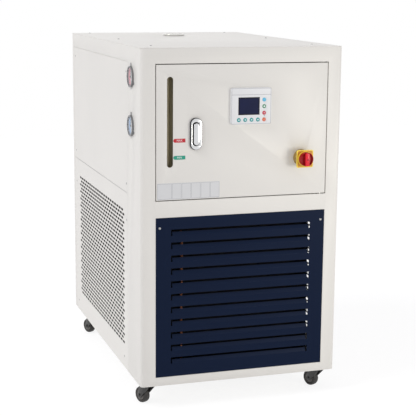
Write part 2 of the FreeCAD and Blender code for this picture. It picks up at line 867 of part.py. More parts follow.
# Shoulder pins pushed through the window's flange into the door's bosses.
def hinge_pins():
    gap = "sheet + door_gap + boss_height"
    low = cylinder("low_shank", "pin_radius", gap, HINGE_X, HINGE_Y,
                   "caster_height + window_bottom - sheet")
    low_head = prism("low_head", "pin_head", "sheet", HINGE_X, HINGE_Y,
                     "caster_height + window_bottom - 2 * sheet")
    high = cylinder("high_shank", "pin_radius", gap, HINGE_X, HINGE_Y,
                    f"caster_height + {WINDOW_TOP} - door_gap - boss_height")
    high_head = prism("high_head", "pin_head", "sheet", HINGE_X, HINGE_Y,
                      f"caster_height + {WINDOW_TOP} + sheet")
    pair = doc.addObject("Part::Compound", "hinge_pin_pair")
    pair.Links = [fuse("low_pin", low, low_head), fuse("high_pin", high, high_head)]
    part(pair, "hinge_pins")


# The door's latch: a long rounded housing, the lever that lifts out of it and the cam behind.
def latch():
    body = new_body("latch_housing", "-latch_offset", FRONT, "caster_height + latch_middle")
    flange = sketch(body, "latch_flange", "Y", "0")
    add_box(flange, "-latch_width / 2", "-latch_height / 2", "latch_width", "latch_height")
    plate = pad(body, flange, "latch_proud")
    plate = rounded(body, plate, edges_along(plate.Shape, ALONG_Y), f"latch_width * {FULL_ROUND}")
    shank = sketch(body, "latch_shank", "Y", "0")
    add_box(shank, "-latch_body_width / 2", "-latch_body_height / 2",
            "latch_body_width", "latch_body_height")
    pad(body, shank, "latch_body_depth", back=True)
    mouth = sketch(body, "latch_mouth", "Y", "-latch_proud")
    add_box(mouth, "-lever_width / 2 - lever_clearance", "-lever_height / 2 - lever_clearance",
            "lever_width + 2 * lever_clearance", "lever_height + 2 * lever_clearance")
    pocket(body, mouth, "latch_pocket_depth")
    hinge = sketch(body, "lever_hinge", "X")
    add_circle(hinge, "-latch_proud - lever_proud + lever_depth / 2",
               "lever_height / 2 - lever_depth / 2", "lever_pin_radius")
    pad(body, hinge, "lever_width + 2 * lever_clearance", middle=True)
    spindle = sketch(body, "spindle_hole", "Y", "latch_body_depth")
    add_circle(spindle, "0", "0", "spindle_radius + pin_clearance")
    pocket(body, spindle, "latch_proud + latch_body_depth", back=True)

    lever = new_body("latch_lever", "-latch_offset", FRONT, "caster_height + latch_middle")
    side = sketch(lever, "lever_side", "X")
    near = "-latch_proud - lever_proud"
    add_box(side, near, "-lever_height / 2", "lever_depth", "lever_height")
    bar = pad(lever, side, "lever_width", middle=True)
    heel = edges_along(bar.Shape, ALONG_X, lambda c: c.z > 0)
    bar = rounded(lever, bar, heel, f"lever_depth * {FULL_ROUND}")
    hinge = sketch(lever, "lever_bore", "X")
    add_circle(hinge, "-latch_proud - lever_proud + lever_depth / 2",
               "lever_height / 2 - lever_depth / 2", "lever_pin_radius + pin_clearance")
    pocket(lever, hinge, middle=True)

    shaft = cylinder("cam_shaft", "spindle_radius",
                     "latch_body_depth + latch_proud - latch_pocket_depth",
                     "-latch_offset", f"{FRONT} - latch_proud + latch_pocket_depth",
                     "caster_height + latch_middle", TO_BACK)
    arm = block("cam_arm", "cam_width", "cam_sheet", "cam_length",
                "-latch_offset - cam_width / 2", f"{FRONT} + latch_body_depth",
                "caster_height + latch_middle - cam_width / 2")
    part(fuse("cam", shaft, arm), "latch_cam")


# The controller: a case clamped in the door, its display window and eight round keys.
def controller():
    body = new_body("controller_case", "controller_offset", FRONT,
                    "caster_height + controller_middle")
    front = sketch(body, "bezel", "Y", "0")
    add_box(front, "-controller_width / 2", "-controller_height / 2",
            "controller_width", "controller_height")
    bezel = pad(body, front, "controller_proud")
    bezel = rounded(body, bezel, edges_along(bezel.Shape, ALONG_Y), "controller_radius")
    rear = sketch(body, "controller_back", "Y", "0")
    add_box(rear, "-controller_body_width / 2", "-controller_body_height / 2",
            "controller_body_width", "controller_body_height")
    pad(body, rear, "controller_body_depth", back=True)
    groove = sketch(body, "title_groove", "Y", "-controller_proud")
    add_box(groove, "-controller_width / 2 - 1", "controller_height / 2 - title_band",
            "controller_width + 2", "display_depth / 2")
    pocket(body, groove, "display_depth / 2")
    recess = sketch(body, "display_recess", "Y", "-controller_proud")
    add_box(recess, "-controller_width / 2 + display_left",
            "controller_height / 2 - display_top - display_height",
            "display_width", "display_height")
    pocket(body, recess, "display_depth")
    for run, axis, pitch in (("column", "V_Axis", "key_column_pitch"),
                             ("row", "H_Axis", "key_row_pitch")):
        across, up = KEY_SPOTS[f"{run}_key_1"]
        well = sketch(body, f"{run}_well", "Y", "-controller_proud")
        add_polygon(well, across, up, "key_radius + key_clearance", SMALL_ROUND)
        first = pocket(body, well, "key_length + key_travel + key_clearance")
        wells = repeated(body, [first], well, axis, str(KEYS_A_RUN), pitch)
        wells.Reversed = run == "column"
        doc.recompute()

    window = block("display_glass", "display_width", "display_depth", "display_height",
                   "controller_offset - controller_width / 2 + display_left",
                   f"{FRONT} - controller_proud",
                   "caster_height + controller_middle + controller_height / 2"
                   " - display_top - display_height")
    part(window, "display_window")

    for name, (across, up) in KEY_SPOTS.items():
        key = prism(name + "_button", "key_radius", "key_length",
                    f"controller_offset + {across}",
                    f"{FRONT} - controller_proud - key_proud",
                    f"caster_height + controller_middle + {up}", TO_BACK, SMALL_ROUND)
        part(key, name)


KEYS_A_RUN = 4
KEY_SPOTS = {}
for index in range(KEYS_A_RUN):
    KEY_SPOTS[f"column_key_{index + 1}"] = (
        "key_column", f"key_column_top - key_column_pitch * {index}")
for index in range(KEYS_A_RUN):
    KEY_SPOTS[f"row_key_{index + 1}"] = (
        f"-key_row_start + key_row_pitch * {index}", "-key_row")


# The isolator: a round base and square plate in front of the door, the switch behind it and the
# red knob.
def isolator():
    face = f"{FRONT} - isolator_base_depth - isolator_plate_sheet - isolator_collar_depth"
    centre = ("isolator_offset", "caster_height + isolator_middle")
    base = cylinder("isolator_round", "isolator_base_radius", "isolator_base_depth",
                    centre[0], FRONT, centre[1], TO_FRONT)
    square = block("isolator_square", "isolator_plate_size", "isolator_plate_sheet",
                   "isolator_plate_size", "isolator_offset - isolator_plate_size / 2",
                   f"{FRONT} - isolator_base_depth - isolator_plate_sheet",
                   "caster_height + isolator_middle - isolator_plate_size / 2")
    collar = cylinder("isolator_collar", "isolator_collar_radius", "isolator_collar_depth",
                      centre[0], f"{FRONT} - isolator_base_depth - isolator_plate_sheet",
                      centre[1], TO_FRONT)
    front = fuse("isolator_front", base, square, collar)
    bore = cylinder("isolator_bore", "knob_shaft_radius + pin_clearance",
                    "knob_shaft_length + knob_gap", centre[0], face, centre[1], TO_BACK)
    part(cut("isolator_bored", front, bore), "isolator_plate")

    neck = block("switch_neck", "isolator_neck_size", "sheet", "isolator_neck_size",
                 "isolator_offset - isolator_neck_size / 2", FRONT,
                 "caster_height + isolator_middle - isolator_neck_size / 2")
    body = block("switch_block", "isolator_body_size", "isolator_body_depth",
                 "isolator_body_size", "isolator_offset - isolator_body_size / 2",
                 f"{FRONT} + sheet", "caster_height + isolator_middle - isolator_body_size / 2")
    part(fuse("switch", neck, body), "isolator_switch")

    knob = new_body("isolator_knob", "isolator_offset", f"{face} - knob_gap", centre[1])
    rim = sketch(knob, "knob_rim_circle", "Y")
    add_circle(rim, "0", "0", "knob_radius")
    disc = pad(knob, rim, "knob_depth")
    hollow = sketch(knob, "knob_hollow", "Y", "-knob_depth")
    add_circle(hollow, "0", "0", "knob_radius - knob_rim")
    pocket(knob, hollow, "knob_recess")
    grip = sketch(knob, "knob_grip", "Y", "-knob_depth + knob_recess")
    add_box(grip, "-knob_grip_width / 2", "-knob_radius + knob_rim / 2", "knob_grip_width",
            "2 * knob_radius - knob_rim")
    pad(knob, grip, "knob_recess + knob_grip_rise")
    shaft = sketch(knob, "knob_shaft", "Y")
    add_circle(shaft, "0", "0", "knob_shaft_radius")
    pad(knob, shaft, "knob_shaft_length", back=True)


# Two dial gauges let into the left side: a flanged case with three lugs, a pointer on a pivot and
# the glass.
def gauges():
    for name, level in (("upper", "gauge_upper"), ("lower", "gauge_lower")):
        spot = (LEFT, f"{FRONT} + gauge_inset", f"caster_height + {level}")
        case = new_body(f"{name}_gauge_case", *spot)
        rim = sketch(case, f"{name}_rim", "X")
        add_circle(rim, "0", "0", "gauge_radius")
        pad(case, rim, "gauge_proud", back=True)
        lug = sketch(case, f"{name}_lug", "X")
        add_outline(lug, [
            ("-gauge_lug_width / 2", "gauge_radius - gauge_proud"),
            ("gauge_lug_width / 2", "gauge_radius - gauge_proud"),
            ("gauge_lug_tip / 2", "gauge_lug_reach"),
            ("-gauge_lug_tip / 2", "gauge_lug_reach"),
        ])
        ear = pad(case, lug, "gauge_lug_sheet", back=True)
        ears = case.newObject("PartDesign::PolarPattern", f"{name}_lugs")
        ears.Originals = [ear]
        ears.Axis = (lug, ["N_Axis"])
        ears.Occurrences = 3
        case.Tip = ears
        doc.recompute()
        can = sketch(case, f"{name}_can", "X")
        add_polygon(can, "0", "0", "gauge_can_radius", SMALL_ROUND)
        pad(case, can, "gauge_can_depth")
        recess = sketch(case, f"{name}_recess", "X", "-gauge_proud")
        add_circle(recess, "0", "0", "gauge_recess_radius")
        pocket(case, recess, "gauge_recess_depth", back=True)
        pivot = sketch(case, f"{name}_pivot", "X", "-gauge_proud + gauge_recess_depth")
        add_circle(pivot, "0", "0", "pointer_pivot_radius")
        pad(case, pivot, "gauge_recess_depth - gauge_lens_sheet - knob_gap", back=True)

        pointer = new_body(f"{name}_pointer", *spot)
        seat = "-gauge_proud + gauge_recess_depth - knob_gap - pointer_sheet"
        hub = sketch(pointer, f"{name}_hub", "X", seat)
        add_polygon(hub, "0", "0", "pointer_hub_radius", 6)
        pad(pointer, hub, "pointer_sheet")
        hand = sketch(pointer, f"{name}_hand", "X", seat)
        add_outline(hand, [
            ("-pointer_width / 2", "-pointer_tail"), ("pointer_width / 2", "-pointer_tail"),
            ("pointer_tip / 2", "pointer_length"), ("-pointer_tip / 2", "pointer_length"),
        ])
        pad(pointer, hand, "pointer_sheet")
        bore = sketch(pointer, f"{name}_pointer_bore", "X", seat)
        add_circle(bore, "0", "0", "pointer_pivot_radius + pin_clearance")
        pocket(pointer, bore, back=True)

        glass = cylinder(f"{name}_glass", "gauge_recess_radius", "gauge_lens_sheet",
                         f"{LEFT} - gauge_proud", spot[1], spot[2], TO_RIGHT)
        part(glass, f"{name}_gauge_lens")


# The filler: a flanged neck from the tank through the cover, and its cap.
def filler():
    base = "caster_height + cabinet_height"
    centre = ("-filler_offset", "filler_depth")
    foot = f"caster_height + {SHELF_TOP} + tank_height"
    tube = cylinder("neck_tube", "neck_radius",
                    f"{base} + neck_flange_sheet - ({foot})", *centre, foot)
    flange = cylinder("neck_flange", "neck_flange_radius", "neck_flange_sheet", *centre, base)
    bore = cylinder("neck_bore", "neck_radius - neck_wall",
                    f"{base} + neck_flange_sheet - ({foot})", *centre, foot)
    part(cut("neck", fuse("neck_outside", tube, flange), bore), "filler_neck")

    cap = new_body("filler_cap", *centre, f"{base} + neck_flange_sheet + cap_gap")
    lid = sketch(cap, "cap_lid", "Z")
    add_circle(lid, "0", "0", "cap_radius")
    disc = pad(cap, lid, "cap_height")
    disc = bevel_rims(cap, disc, "Z", "cap_height", "cap_bevel")
    plug = sketch(cap, "cap_plug", "Z")
    add_polygon(plug, "0", "0", "neck_radius - neck_wall - cap_gap", SMALL_ROUND)
    add_polygon(plug, "0", "0", "neck_radius - neck_wall - cap_gap - cap_wall", SMALL_ROUND)
    pad(cap, plug, "cap_plug_height", back=True)


# Four swivel casters: a plate with its race and kingpin, a fork with its axle and a wheel.
def casters():
    plates = []
    spots = {
        "front_left": (f"{LEFT} + caster_inset", "-caster_front"),
        "front_right": (f"{RIGHT} - caster_inset", "-caster_front"),
        "rear_left": (f"{LEFT} + caster_inset", "caster_rear"),
        "rear_right": (f"{RIGHT} - caster_inset", "caster_rear"),
    }
    swing = (FreeCAD.Vector(0, 0, 1), SIZES["caster_swing"])
    crown = "caster_height - plate_sheet - race_height - swivel_gap"
    foot = "fork_foot_radius * sin(45)"
    for name, (x, y) in spots.items():
        plate = block(f"{name}_plate", "plate_width", "plate_depth", "plate_sheet",
                      f"{x} - plate_width / 2", f"{y} - plate_depth / 2",
                      "caster_height - plate_sheet")
        race = prism(f"{name}_race", "race_radius", "race_height", x, y,
                     "caster_height - plate_sheet - race_height", sides=SMALL_ROUND)
        pin = cylinder(f"{name}_kingpin", "kingpin_radius",
                       "race_height + 2 * swivel_gap + fork_crown", x, y,
                       f"{crown} - fork_crown - swivel_gap")
        head = prism(f"{name}_kingpin_nut", "kingpin_head_radius", "kingpin_head_height",
                     x, y, f"{crown} - fork_crown - swivel_gap - kingpin_head_height")
        plates.append(fuse(f"{name}_top", plate, race, pin, head))

        fork = new_body(f"{name}_fork", x, y, "0", swing)
        fork.setExpression("Placement.Rotation.Angle", bound("caster_swing"))
        side = sketch(fork, f"{name}_fork_side", "X")
        add_outline(side, [
            ("-race_radius", crown),
            ("-race_radius", f"{crown} - fork_cheek"),
            (f"wheel_trail - {foot}", f"wheel_radius - {foot}"),
            ("wheel_trail", "wheel_radius - fork_foot_radius"),
            (f"wheel_trail + {foot}", f"wheel_radius - {foot}"),
            ("wheel_trail + fork_foot_radius", "wheel_radius"),
            ("race_radius", f"{crown} - fork_cheek"),
            ("race_radius", crown),
        ])
        pad(fork, side, "fork_inner_width + 2 * fork_sheet", middle=True)
        gap = sketch(fork, f"{name}_fork_gap", "Y")
        add_box(gap, "-fork_inner_width / 2", "-1", "fork_inner_width",
                f"{crown} - fork_crown + 1")
        pocket(fork, gap, middle=True)
        hole = sketch(fork, f"{name}_fork_hole", "Z", crown)
        add_polygon(hole, "0", "0", around("kingpin_radius"), SMALL_ROUND)
        pocket(fork, hole, "2 * fork_crown")
        axle = sketch(fork, f"{name}_axle", "X")
        add_circle(axle, "wheel_trail", "wheel_radius", "axle_radius")
        pad(fork, axle, "fork_inner_width + fork_sheet", middle=True)

        wheel = new_body(f"{name}_wheel", x, y, "wheel_radius", swing)
        wheel.setExpression("Placement.Rotation.Angle", bound("caster_swing"))
        tread = sketch(wheel, f"{name}_tread", "X")
        add_circle(tread, "wheel_trail", "0", "wheel_radius")
        tyre = pad(wheel, tread, "wheel_width", middle=True)
        for end in ("-wheel_width / 2", "wheel_width / 2"):
            tyre = bevel_rims(wheel, tyre, "X", end, "wheel_bevel")
        bore = sketch(wheel, f"{name}_wheel_bore", "X")
        add_polygon(bore, "wheel_trail", "0", around("axle_radius"), SMALL_ROUND)
        pocket(wheel, bore, middle=True)
    group = doc.addObject("Part::Compound", "caster_tops")
    group.Links = plates
    part(group, "caster_plates")


# The wet bay above the shelf: the expansion tank and the electrical cabinet.
def upper_bay():
    tank = new_body("expansion_tank", "-filler_offset", "filler_depth",
                    f"caster_height + {SHELF_TOP}")
    plan = sketch(tank, "tank_plan", "Z")
    add_box(plan, f"-{TANK_WIDTH} / 2", "-tank_depth / 2", TANK_WIDTH, "tank_depth")
    solid = pad(tank, plan, "tank_height")
    rounded(tank, solid, edges_along(solid.Shape, UP), "tank_radius")
    box = block("electrical_case", "electrical_width", "electrical_depth", "electrical_height",
                f"{RIGHT} - electrical_inset - electrical_width / 2",
                "electrical_back - electrical_depth / 2", f"caster_height + {SHELF_TOP}")
    part(box, "electrical_box")


# The condenser behind the intake: a fin block between end plates with return bends of tube.
def condenser():
    body = new_body("condenser", y="-condenser_front", z="caster_height + tray_sheet")
    core = sketch(body, "fin_block", "X")
    add_box(core, "0", "0", "condenser_depth", "condenser_height")
    pad(body, core, CONDENSER_WIDTH, middle=True)
    plane = f"-{CONDENSER_WIDTH} / 2"
    low = "(condenser_height - bend_pitch * (bend_count - 0.5)) / 2"
    outer = f"{plane} - bend_reach"
    tube = "2 * bend_tube_radius"
    bend = sketch(body, "bend_side", "Y", "condenser_depth / 2 - bend_tube_radius")
    add_outline(bend, [
        (plane, low), (f"{outer} + {tube}", low), (outer, f"{low} + {tube}"),
        (outer, f"{low} + bend_pitch / 2"),
        (f"{outer} + {tube}", f"{low} + bend_pitch / 2 + {tube}"),
        (plane, f"{low} + bend_pitch / 2 + {tube}"),
        (plane, f"{low} + bend_pitch / 2"),
        (f"{outer} + {tube}", f"{low} + bend_pitch / 2"),
        (f"{outer} + {tube}", f"{low} + {tube}"), (plane, f"{low} + {tube}"),
    ])
    turn = pad(body, bend, tube, back=True)
    repeated(body, [turn], bend, "V_Axis", "bend_count", "bend_pitch")


# The condenser's fan: a shroud with its duct, the motor on struts and the rotor.
def fan():
    start = "-condenser_front + condenser_depth"
    middle = "caster_height + tray_sheet + condenser_height / 2"
    frame = new_body("fan_frame", "0", start, middle)
    plate = sketch(frame, "shroud_plate", "Y", "shroud_sheet")
    add_box(plate, "-shroud_size / 2", "-shroud_size / 2", "shroud_size", "shroud_size")
    pad(frame, plate, "shroud_sheet")
    duct = sketch(frame, "duct_outside", "Y", "0")
    add_circle(duct, "0", "0", "duct_radius + duct_wall")
    pad(frame, duct, "duct_depth", back=True)
    inside = sketch(frame, "duct_inside", "Y", "0")
    add_circle(inside, "0", "0", "duct_radius")
    pocket(frame, inside, middle=True)
    for name, across, up in (("level", "2 * duct_radius + duct_wall", "strut_width"),
                             ("upright", "strut_width", "2 * duct_radius + duct_wall")):
        strut = sketch(frame, f"{name}_strut", "Y", "duct_depth")
        add_box(strut, f"-({across}) / 2", f"-({up}) / 2", across, up)
        pad(frame, strut, "strut_sheet")
    motor = sketch(frame, "fan_motor", "Y", "duct_depth - strut_sheet")
    add_circle(motor, "0", "0", "fan_motor_radius")
    pad(frame, motor, "fan_motor_depth", back=True)
    bore = sketch(frame, "fan_motor_bore", "Y", "duct_depth - strut_sheet")
    add_circle(bore, "0", "0", "fan_shaft_radius + pin_clearance")
    pocket(frame, bore, "fan_shaft_length + knob_gap")

    rotor = new_body("fan_rotor", "0", f"{start} + duct_depth - strut_sheet - knob_gap", middle)
    hub = sketch(rotor, "fan_hub", "Y")
    add_circle(hub, "0", "0", "fan_hub_radius")
    pad(rotor, hub, "fan_hub_depth")
    shaft = sketch(rotor, "fan_shaft", "Y")
    add_circle(shaft, "0", "0", "fan_shaft_radius")
    pad(rotor, shaft, "fan_shaft_length", back=True)
    blade = sketch(rotor, "fan_blade", "Z", "fan_hub_radius - blade_root")
    along = "blade_chord / 2 * cos(blade_angle)"
    deep = "blade_chord / 2 * sin(blade_angle)"
    middle_y = "-fan_hub_depth / 2 - blade_sheet / 2"
    add_outline(blade, [
        (f"-({along})", f"{middle_y} - {deep}"),
        (f"{along}", f"{middle_y} + {deep}"),
        (f"{along}", f"{middle_y} + {deep} + blade_sheet"),
        (f"-({along})", f"{middle_y} - {deep} + blade_sheet"),
    ])
    leaf = pad(rotor, blade, "fan_radius - fan_hub_radius + blade_root")
    ring = rotor.newObject("PartDesign::PolarPattern", "fan_blades")
    ring.Originals = [leaf]
    ring.Axis = (hub, ["N_Axis"])
    ring.setExpression("Occurrences", bound("blade_count"))
    rotor.Tip = ring
    doc.recompute()


# The machinery on the tray: compressor, circulation pump and plate heat exchanger.
def machinery():
    floor = "caster_height + tray_sheet"
    body = new_body("compressor", f"{LEFT} + compressor_inset", "compressor_back", floor)
    foot = sketch(body, "compressor_foot", "Z")
    add_box(foot, "-compressor_foot / 2", "-compressor_foot / 2", "compressor_foot",
            "compressor_foot")
    plate = pad(body, foot, "compressor_foot_sheet")
    rounded(body, plate, edges_along(plate.Shape, UP), "compressor_foot_corner")
    shell = sketch(body, "compressor_shell", "Z")
    add_circle(shell, "0", "0", "compressor_radius")
    can = pad(body, shell, "compressor_height")
    bevel_rims(body, can, "Z", "compressor_height", "compressor_dome")

    axis = f"{floor} + pump_axis_height"
    motor = cylinder("pump_motor", "pump_radius", "pump_length", PUMP_X, "pump_back",
                     axis, TO_BACK)
    head = cylinder("pump_head", "pump_head_radius", "pump_head_length", PUMP_X,
                    "pump_back - pump_head_length", axis, TO_BACK)
    foot = block("pump_foot", "pump_foot_width", "pump_foot_length", "pump_axis_height",
                 f"{PUMP_X} - pump_foot_width / 2",
                 "pump_back + (pump_length - pump_foot_length) / 2", floor)
    part(fuse("pump", motor, head, foot), "circulation_pump")

    left = f"{RIGHT} - exchanger_inset - exchanger_width / 2"
    front = "exchanger_back - exchanger_depth / 2"
    pack = block("exchanger_pack", "exchanger_width", "exchanger_depth", "exchanger_height",
                 left, front, floor)
    stubs = []
    for side, across in (("left", "exchanger_port_inset"),
                         ("right", "exchanger_width - exchanger_port_inset")):
        for end, up in (("low", "exchanger_port_rise"),
                        ("high", "exchanger_height - exchanger_port_rise")):
            stubs.append(prism(f"exchanger_{side}_{end}", "exchanger_port_radius",
                               "exchanger_port_length", f"{left} + {across}", front,
                               f"{floor} + {up}", TO_FRONT))
    part(fuse("exchanger", pack, *stubs), "heat_exchanger")


# What leaves the rear wall: two hose ports, the drain valve with its handle and the cable gland.
def rear_fittings():
    ports = []
    for name, x in (("supply", "-port_spacing / 2"), ("return", "port_spacing / 2")):
        z = "caster_height + port_height"
        stub = cylinder(f"{name}_stub", "port_radius", "port_reach + port_inner", x,
                        f"{REAR} - port_inner", z, TO_BACK)
        collar = prism(f"{name}_collar", "port_collar_radius", "port_collar_depth", x,
                       REAR, z, TO_BACK)
        bore = cylinder(f"{name}_bore", "port_bore_radius", "port_reach + port_inner", x,
                        f"{REAR} - port_inner", z, TO_BACK)
        ports.append(cut(f"{name}_port", fuse(f"{name}_outside", stub, collar), bore))
    pair = doc.addObject("Part::Compound", "port_pair")
    pair.Links = ports
    part(pair, "hose_ports")

    x = "-drain_offset"
    z = "caster_height + drain_height"
    stub = cylinder("drain_stub", "drain_radius", "drain_reach + port_inner", x,
                    f"{REAR} - port_inner", z, TO_BACK)
    middle = f"{REAR} + drain_block"
    ball = block("drain_ball", "drain_block", "drain_block", "drain_block",
                 f"{x} - drain_block / 2", f"{middle} - drain_block / 2",
                 f"{z} - drain_block / 2")
    bore = cylinder("drain_bore", "drain_bore_radius", "drain_bore_depth", x,
                    f"{REAR} + drain_reach - drain_bore_depth", z, TO_BACK)
    well = cylinder("drain_well", "drain_stem_radius + pin_clearance", "drain_stem_height",
                    x, middle, f"{z} + drain_block / 2 - drain_stem_height + knob_gap")
    valve = cut("drain_bored", fuse("drain_outside", stub, ball), bore)
    part(cut("drain_welled", valve, well), "drain_valve")
    stem = cylinder("handle_stem", "drain_stem_radius", "drain_stem_height", x, middle,
                    f"{z} + drain_block / 2 - drain_stem_height + 2 * knob_gap")
    bar = block("handle_bar", "handle_length", "handle_width", "handle_sheet",
                f"{x} - handle_width / 2", f"{middle} - handle_width / 2",
                f"{z} + drain_block / 2 + knob_gap")
    part(fuse("drain_lever", stem, bar), "drain_handle")

    z = "caster_height + gland_height"
    shank = prism("gland_shank", "gland_radius", "port_inner", "gland_offset",
                  f"{REAR} - port_inner", z, TO_BACK, SMALL_ROUND)
    nut = prism("gland_nut", "gland_hex_radius", "gland_hex_depth", "gland_offset", REAR, z,
                TO_BACK)
    dome = doc.addObject("Part::Cone", "gland_dome")
    dome.setExpression("Radius1", bound("gland_dome_radius"))
    dome.setExpression("Radius2", bound("gland_tip_radius"))
    dome.setExpression("Height", bound("gland_dome_depth"))
    place(dome, "gland_offset", f"{REAR} + gland_hex_depth", z, TO_BACK)
    bore = cylinder("gland_bore", "gland_bore_radius",
                    "port_inner + gland_hex_depth + gland_dome_depth", "gland_offset",
                    f"{REAR} - port_inner", z, TO_BACK)
    part(cut("gland", fuse("gland_outside", shank, nut, dome), bore), "cable_gland")


cabinet_frame()
base_tray()
top_cover()
equipment_shelf()
sight_tube()
side_panels()
rear_panels()
front_grille()
front_door()
hinge_pins()
latch()
controller()
isolator()
gauges()
filler()
casters()
upper_bay()
condenser()
fan()
machinery()
rear_fittings()
doc.recompute()

for thing in doc.Objects:
    if {"Invalid", "Error"} & set(thing.State):
        raise RuntimeError(f"{thing.Name} failed: {thing.State}")
for thing in parts:
    if thing.Shape.isNull() or not thing.Shape.isValid():
        raise RuntimeError(f"{thing.Label} has no valid shape")

os.makedirs("parts", exist_ok=True)
for thing in parts:
    thing.Shape.exportStep(f"parts/{thing.Label}.step")
print(len(parts), "sub-parts written")
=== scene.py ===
import json
from math import cos, pi, radians, sin

import bmesh
import bpy
from mathutils import Matrix, Vector

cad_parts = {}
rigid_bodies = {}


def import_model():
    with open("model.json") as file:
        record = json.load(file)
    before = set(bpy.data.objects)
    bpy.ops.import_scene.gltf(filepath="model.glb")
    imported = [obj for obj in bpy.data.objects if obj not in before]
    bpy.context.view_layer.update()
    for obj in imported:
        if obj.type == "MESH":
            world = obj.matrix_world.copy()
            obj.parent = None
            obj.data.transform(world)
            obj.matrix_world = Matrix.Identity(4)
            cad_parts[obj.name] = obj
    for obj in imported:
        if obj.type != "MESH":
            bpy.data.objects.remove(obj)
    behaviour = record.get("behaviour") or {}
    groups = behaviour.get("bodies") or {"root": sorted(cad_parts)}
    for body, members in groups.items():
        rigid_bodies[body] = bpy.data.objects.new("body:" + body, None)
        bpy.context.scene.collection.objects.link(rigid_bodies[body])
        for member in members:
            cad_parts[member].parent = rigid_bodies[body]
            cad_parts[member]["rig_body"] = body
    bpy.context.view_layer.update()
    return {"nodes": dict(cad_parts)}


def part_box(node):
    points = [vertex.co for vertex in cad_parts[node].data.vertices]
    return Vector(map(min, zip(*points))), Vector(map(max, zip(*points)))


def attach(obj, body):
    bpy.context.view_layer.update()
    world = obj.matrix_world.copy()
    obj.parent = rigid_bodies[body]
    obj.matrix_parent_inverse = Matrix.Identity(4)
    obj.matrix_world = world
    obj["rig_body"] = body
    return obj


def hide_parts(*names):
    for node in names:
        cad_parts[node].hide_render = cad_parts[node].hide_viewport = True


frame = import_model()

# Camera. It stands about four metres off, left of the cabinet and a little above it, as a
# product photographer's long lens would.
CAMERA_PLACE = Vector((-1.2085, -3.8847, 1.3209))
YAW = radians(17.986)
PITCH = radians(10.922)
ROLL = radians(0.503)

ahead = Vector((sin(YAW) * cos(PITCH), cos(YAW) * cos(PITCH), -sin(PITCH)))
level = Vector((cos(YAW), -sin(YAW), 0))
upright = level.cross(ahead)
right = cos(ROLL) * level + sin(ROLL) * upright
up = cos(ROLL) * upright - sin(ROLL) * level
camera = bpy.data.objects.new("camera", bpy.data.cameras.new("camera"))
camera.data.lens = 101.783
camera.data.sensor_width = 36
bpy.context.scene.collection.objects.link(camera)
turn = Matrix((right, up, -ahead)).transposed().to_4x4()
camera.matrix_world = Matrix.Translation(CAMERA_PLACE) @ turn
bpy.context.scene.camera = camera
bpy.context.scene.view_settings.view_transform = "Standard"

# Studio. A pale floor that runs out to white, an even room, one soft lamp high on the left
# and one near the front right, where the cabinet's front is brightest.
FLOOR_HALF = 6.0
FLOOR_GLOW = 1.12
GLOW_SHARE = 0.76
ROOM_STRENGTH = 0.60


def seen_directly(nodes):
    """1 for what the camera, a mirror or a glass shows, 0 for light that falls on things."""
    path = nodes.nodes.new("ShaderNodeLightPath")
    total = path.outputs["Is Camera Ray"]
    for ray in ("Is Glossy Ray", "Is Transmission Ray"):
        add = nodes.nodes.new("ShaderNodeMath")
        add.operation = "MAXIMUM"
        nodes.links.new(total, add.inputs[0])
        nodes.links.new(path.outputs[ray], add.inputs[1])
        total = add.outputs[0]
    return total


world = bpy.data.worlds.new("room")
world.use_nodes = True
world.node_tree.nodes.clear()
room = world.node_tree.nodes.new("ShaderNodeBackground")
room.inputs["Color"].default_value = (0.955, 0.945, 1.0, 1)
room.inputs["Strength"].default_value = ROOM_STRENGTH
backdrop = world.node_tree.nodes.new("ShaderNodeBackground")
backdrop.inputs["Color"].default_value = (1, 1, 1, 1)
backdrop.inputs["Strength"].default_value = 1.0
either = world.node_tree.nodes.new("ShaderNodeMixShader")
world_out = world.node_tree.nodes.new("ShaderNodeOutputWorld")
world.node_tree.links.new(seen_directly(world.node_tree), either.inputs[0])
world.node_tree.links.new(room.outputs[0], either.inputs[1])
world.node_tree.links.new(backdrop.outputs[0], either.inputs[2])
world.node_tree.links.new(either.outputs[0], world_out.inputs[0])
bpy.context.scene.world = world

paper = bpy.data.materials.new("white_paper")
paper.use_nodes = True
paper.node_tree.nodes.clear()
matt = paper.node_tree.nodes.new("ShaderNodeBsdfDiffuse")
matt.inputs["Color"].default_value = (0.86, 0.86, 0.86, 1)
glow = paper.node_tree.nodes.new("ShaderNodeEmission")
glow.inputs["Strength"].default_value = FLOOR_GLOW
share = paper.node_tree.nodes.new("ShaderNodeMath")
share.operation = "MULTIPLY"
share.inputs[1].default_value = GLOW_SHARE
blend = paper.node_tree.nodes.new("ShaderNodeMixShader")
paper_out = paper.node_tree.nodes.new("ShaderNodeOutputMaterial")
paper.node_tree.links.new(seen_directly(paper.node_tree), share.inputs[0])
paper.node_tree.links.new(share.outputs[0], blend.inputs[0])
paper.node_tree.links.new(matt.outputs[0], blend.inputs[1])
paper.node_tree.links.new(glow.outputs[0], blend.inputs[2])
paper.node_tree.links.new(blend.outputs[0], paper_out.inputs[0])

floor_mesh = bpy.data.meshes.new("floor")
bm = bmesh.new()
bmesh.ops.create_grid(bm, x_segments=1, y_segments=1, size=FLOOR_HALF)
bm.to_mesh(floor_mesh)
bm.free()
floor_mesh.materials.append(paper)
floor = bpy.data.objects.new("floor", floor_mesh)
bpy.context.scene.collection.objects.link(floor)


def lamp(name, kind, energy, place, colour, spread):
    """A soft lamp at a place, aimed at the middle of the cabinet."""
    light = bpy.data.lights.new(name, kind)
    light.energy = energy
    light.color = colour
    if kind == "SUN":
        light.angle = spread
    else:
        light.size = spread
    made = bpy.data.objects.new(name, light)
    bpy.context.scene.collection.objects.link(made)
    aim = (Vector((0, 0, 0.6)) - Vector(place)).to_track_quat("-Z", "Y")
    made.matrix_world = Matrix.Translation(place) @ aim.to_matrix().to_4x4()


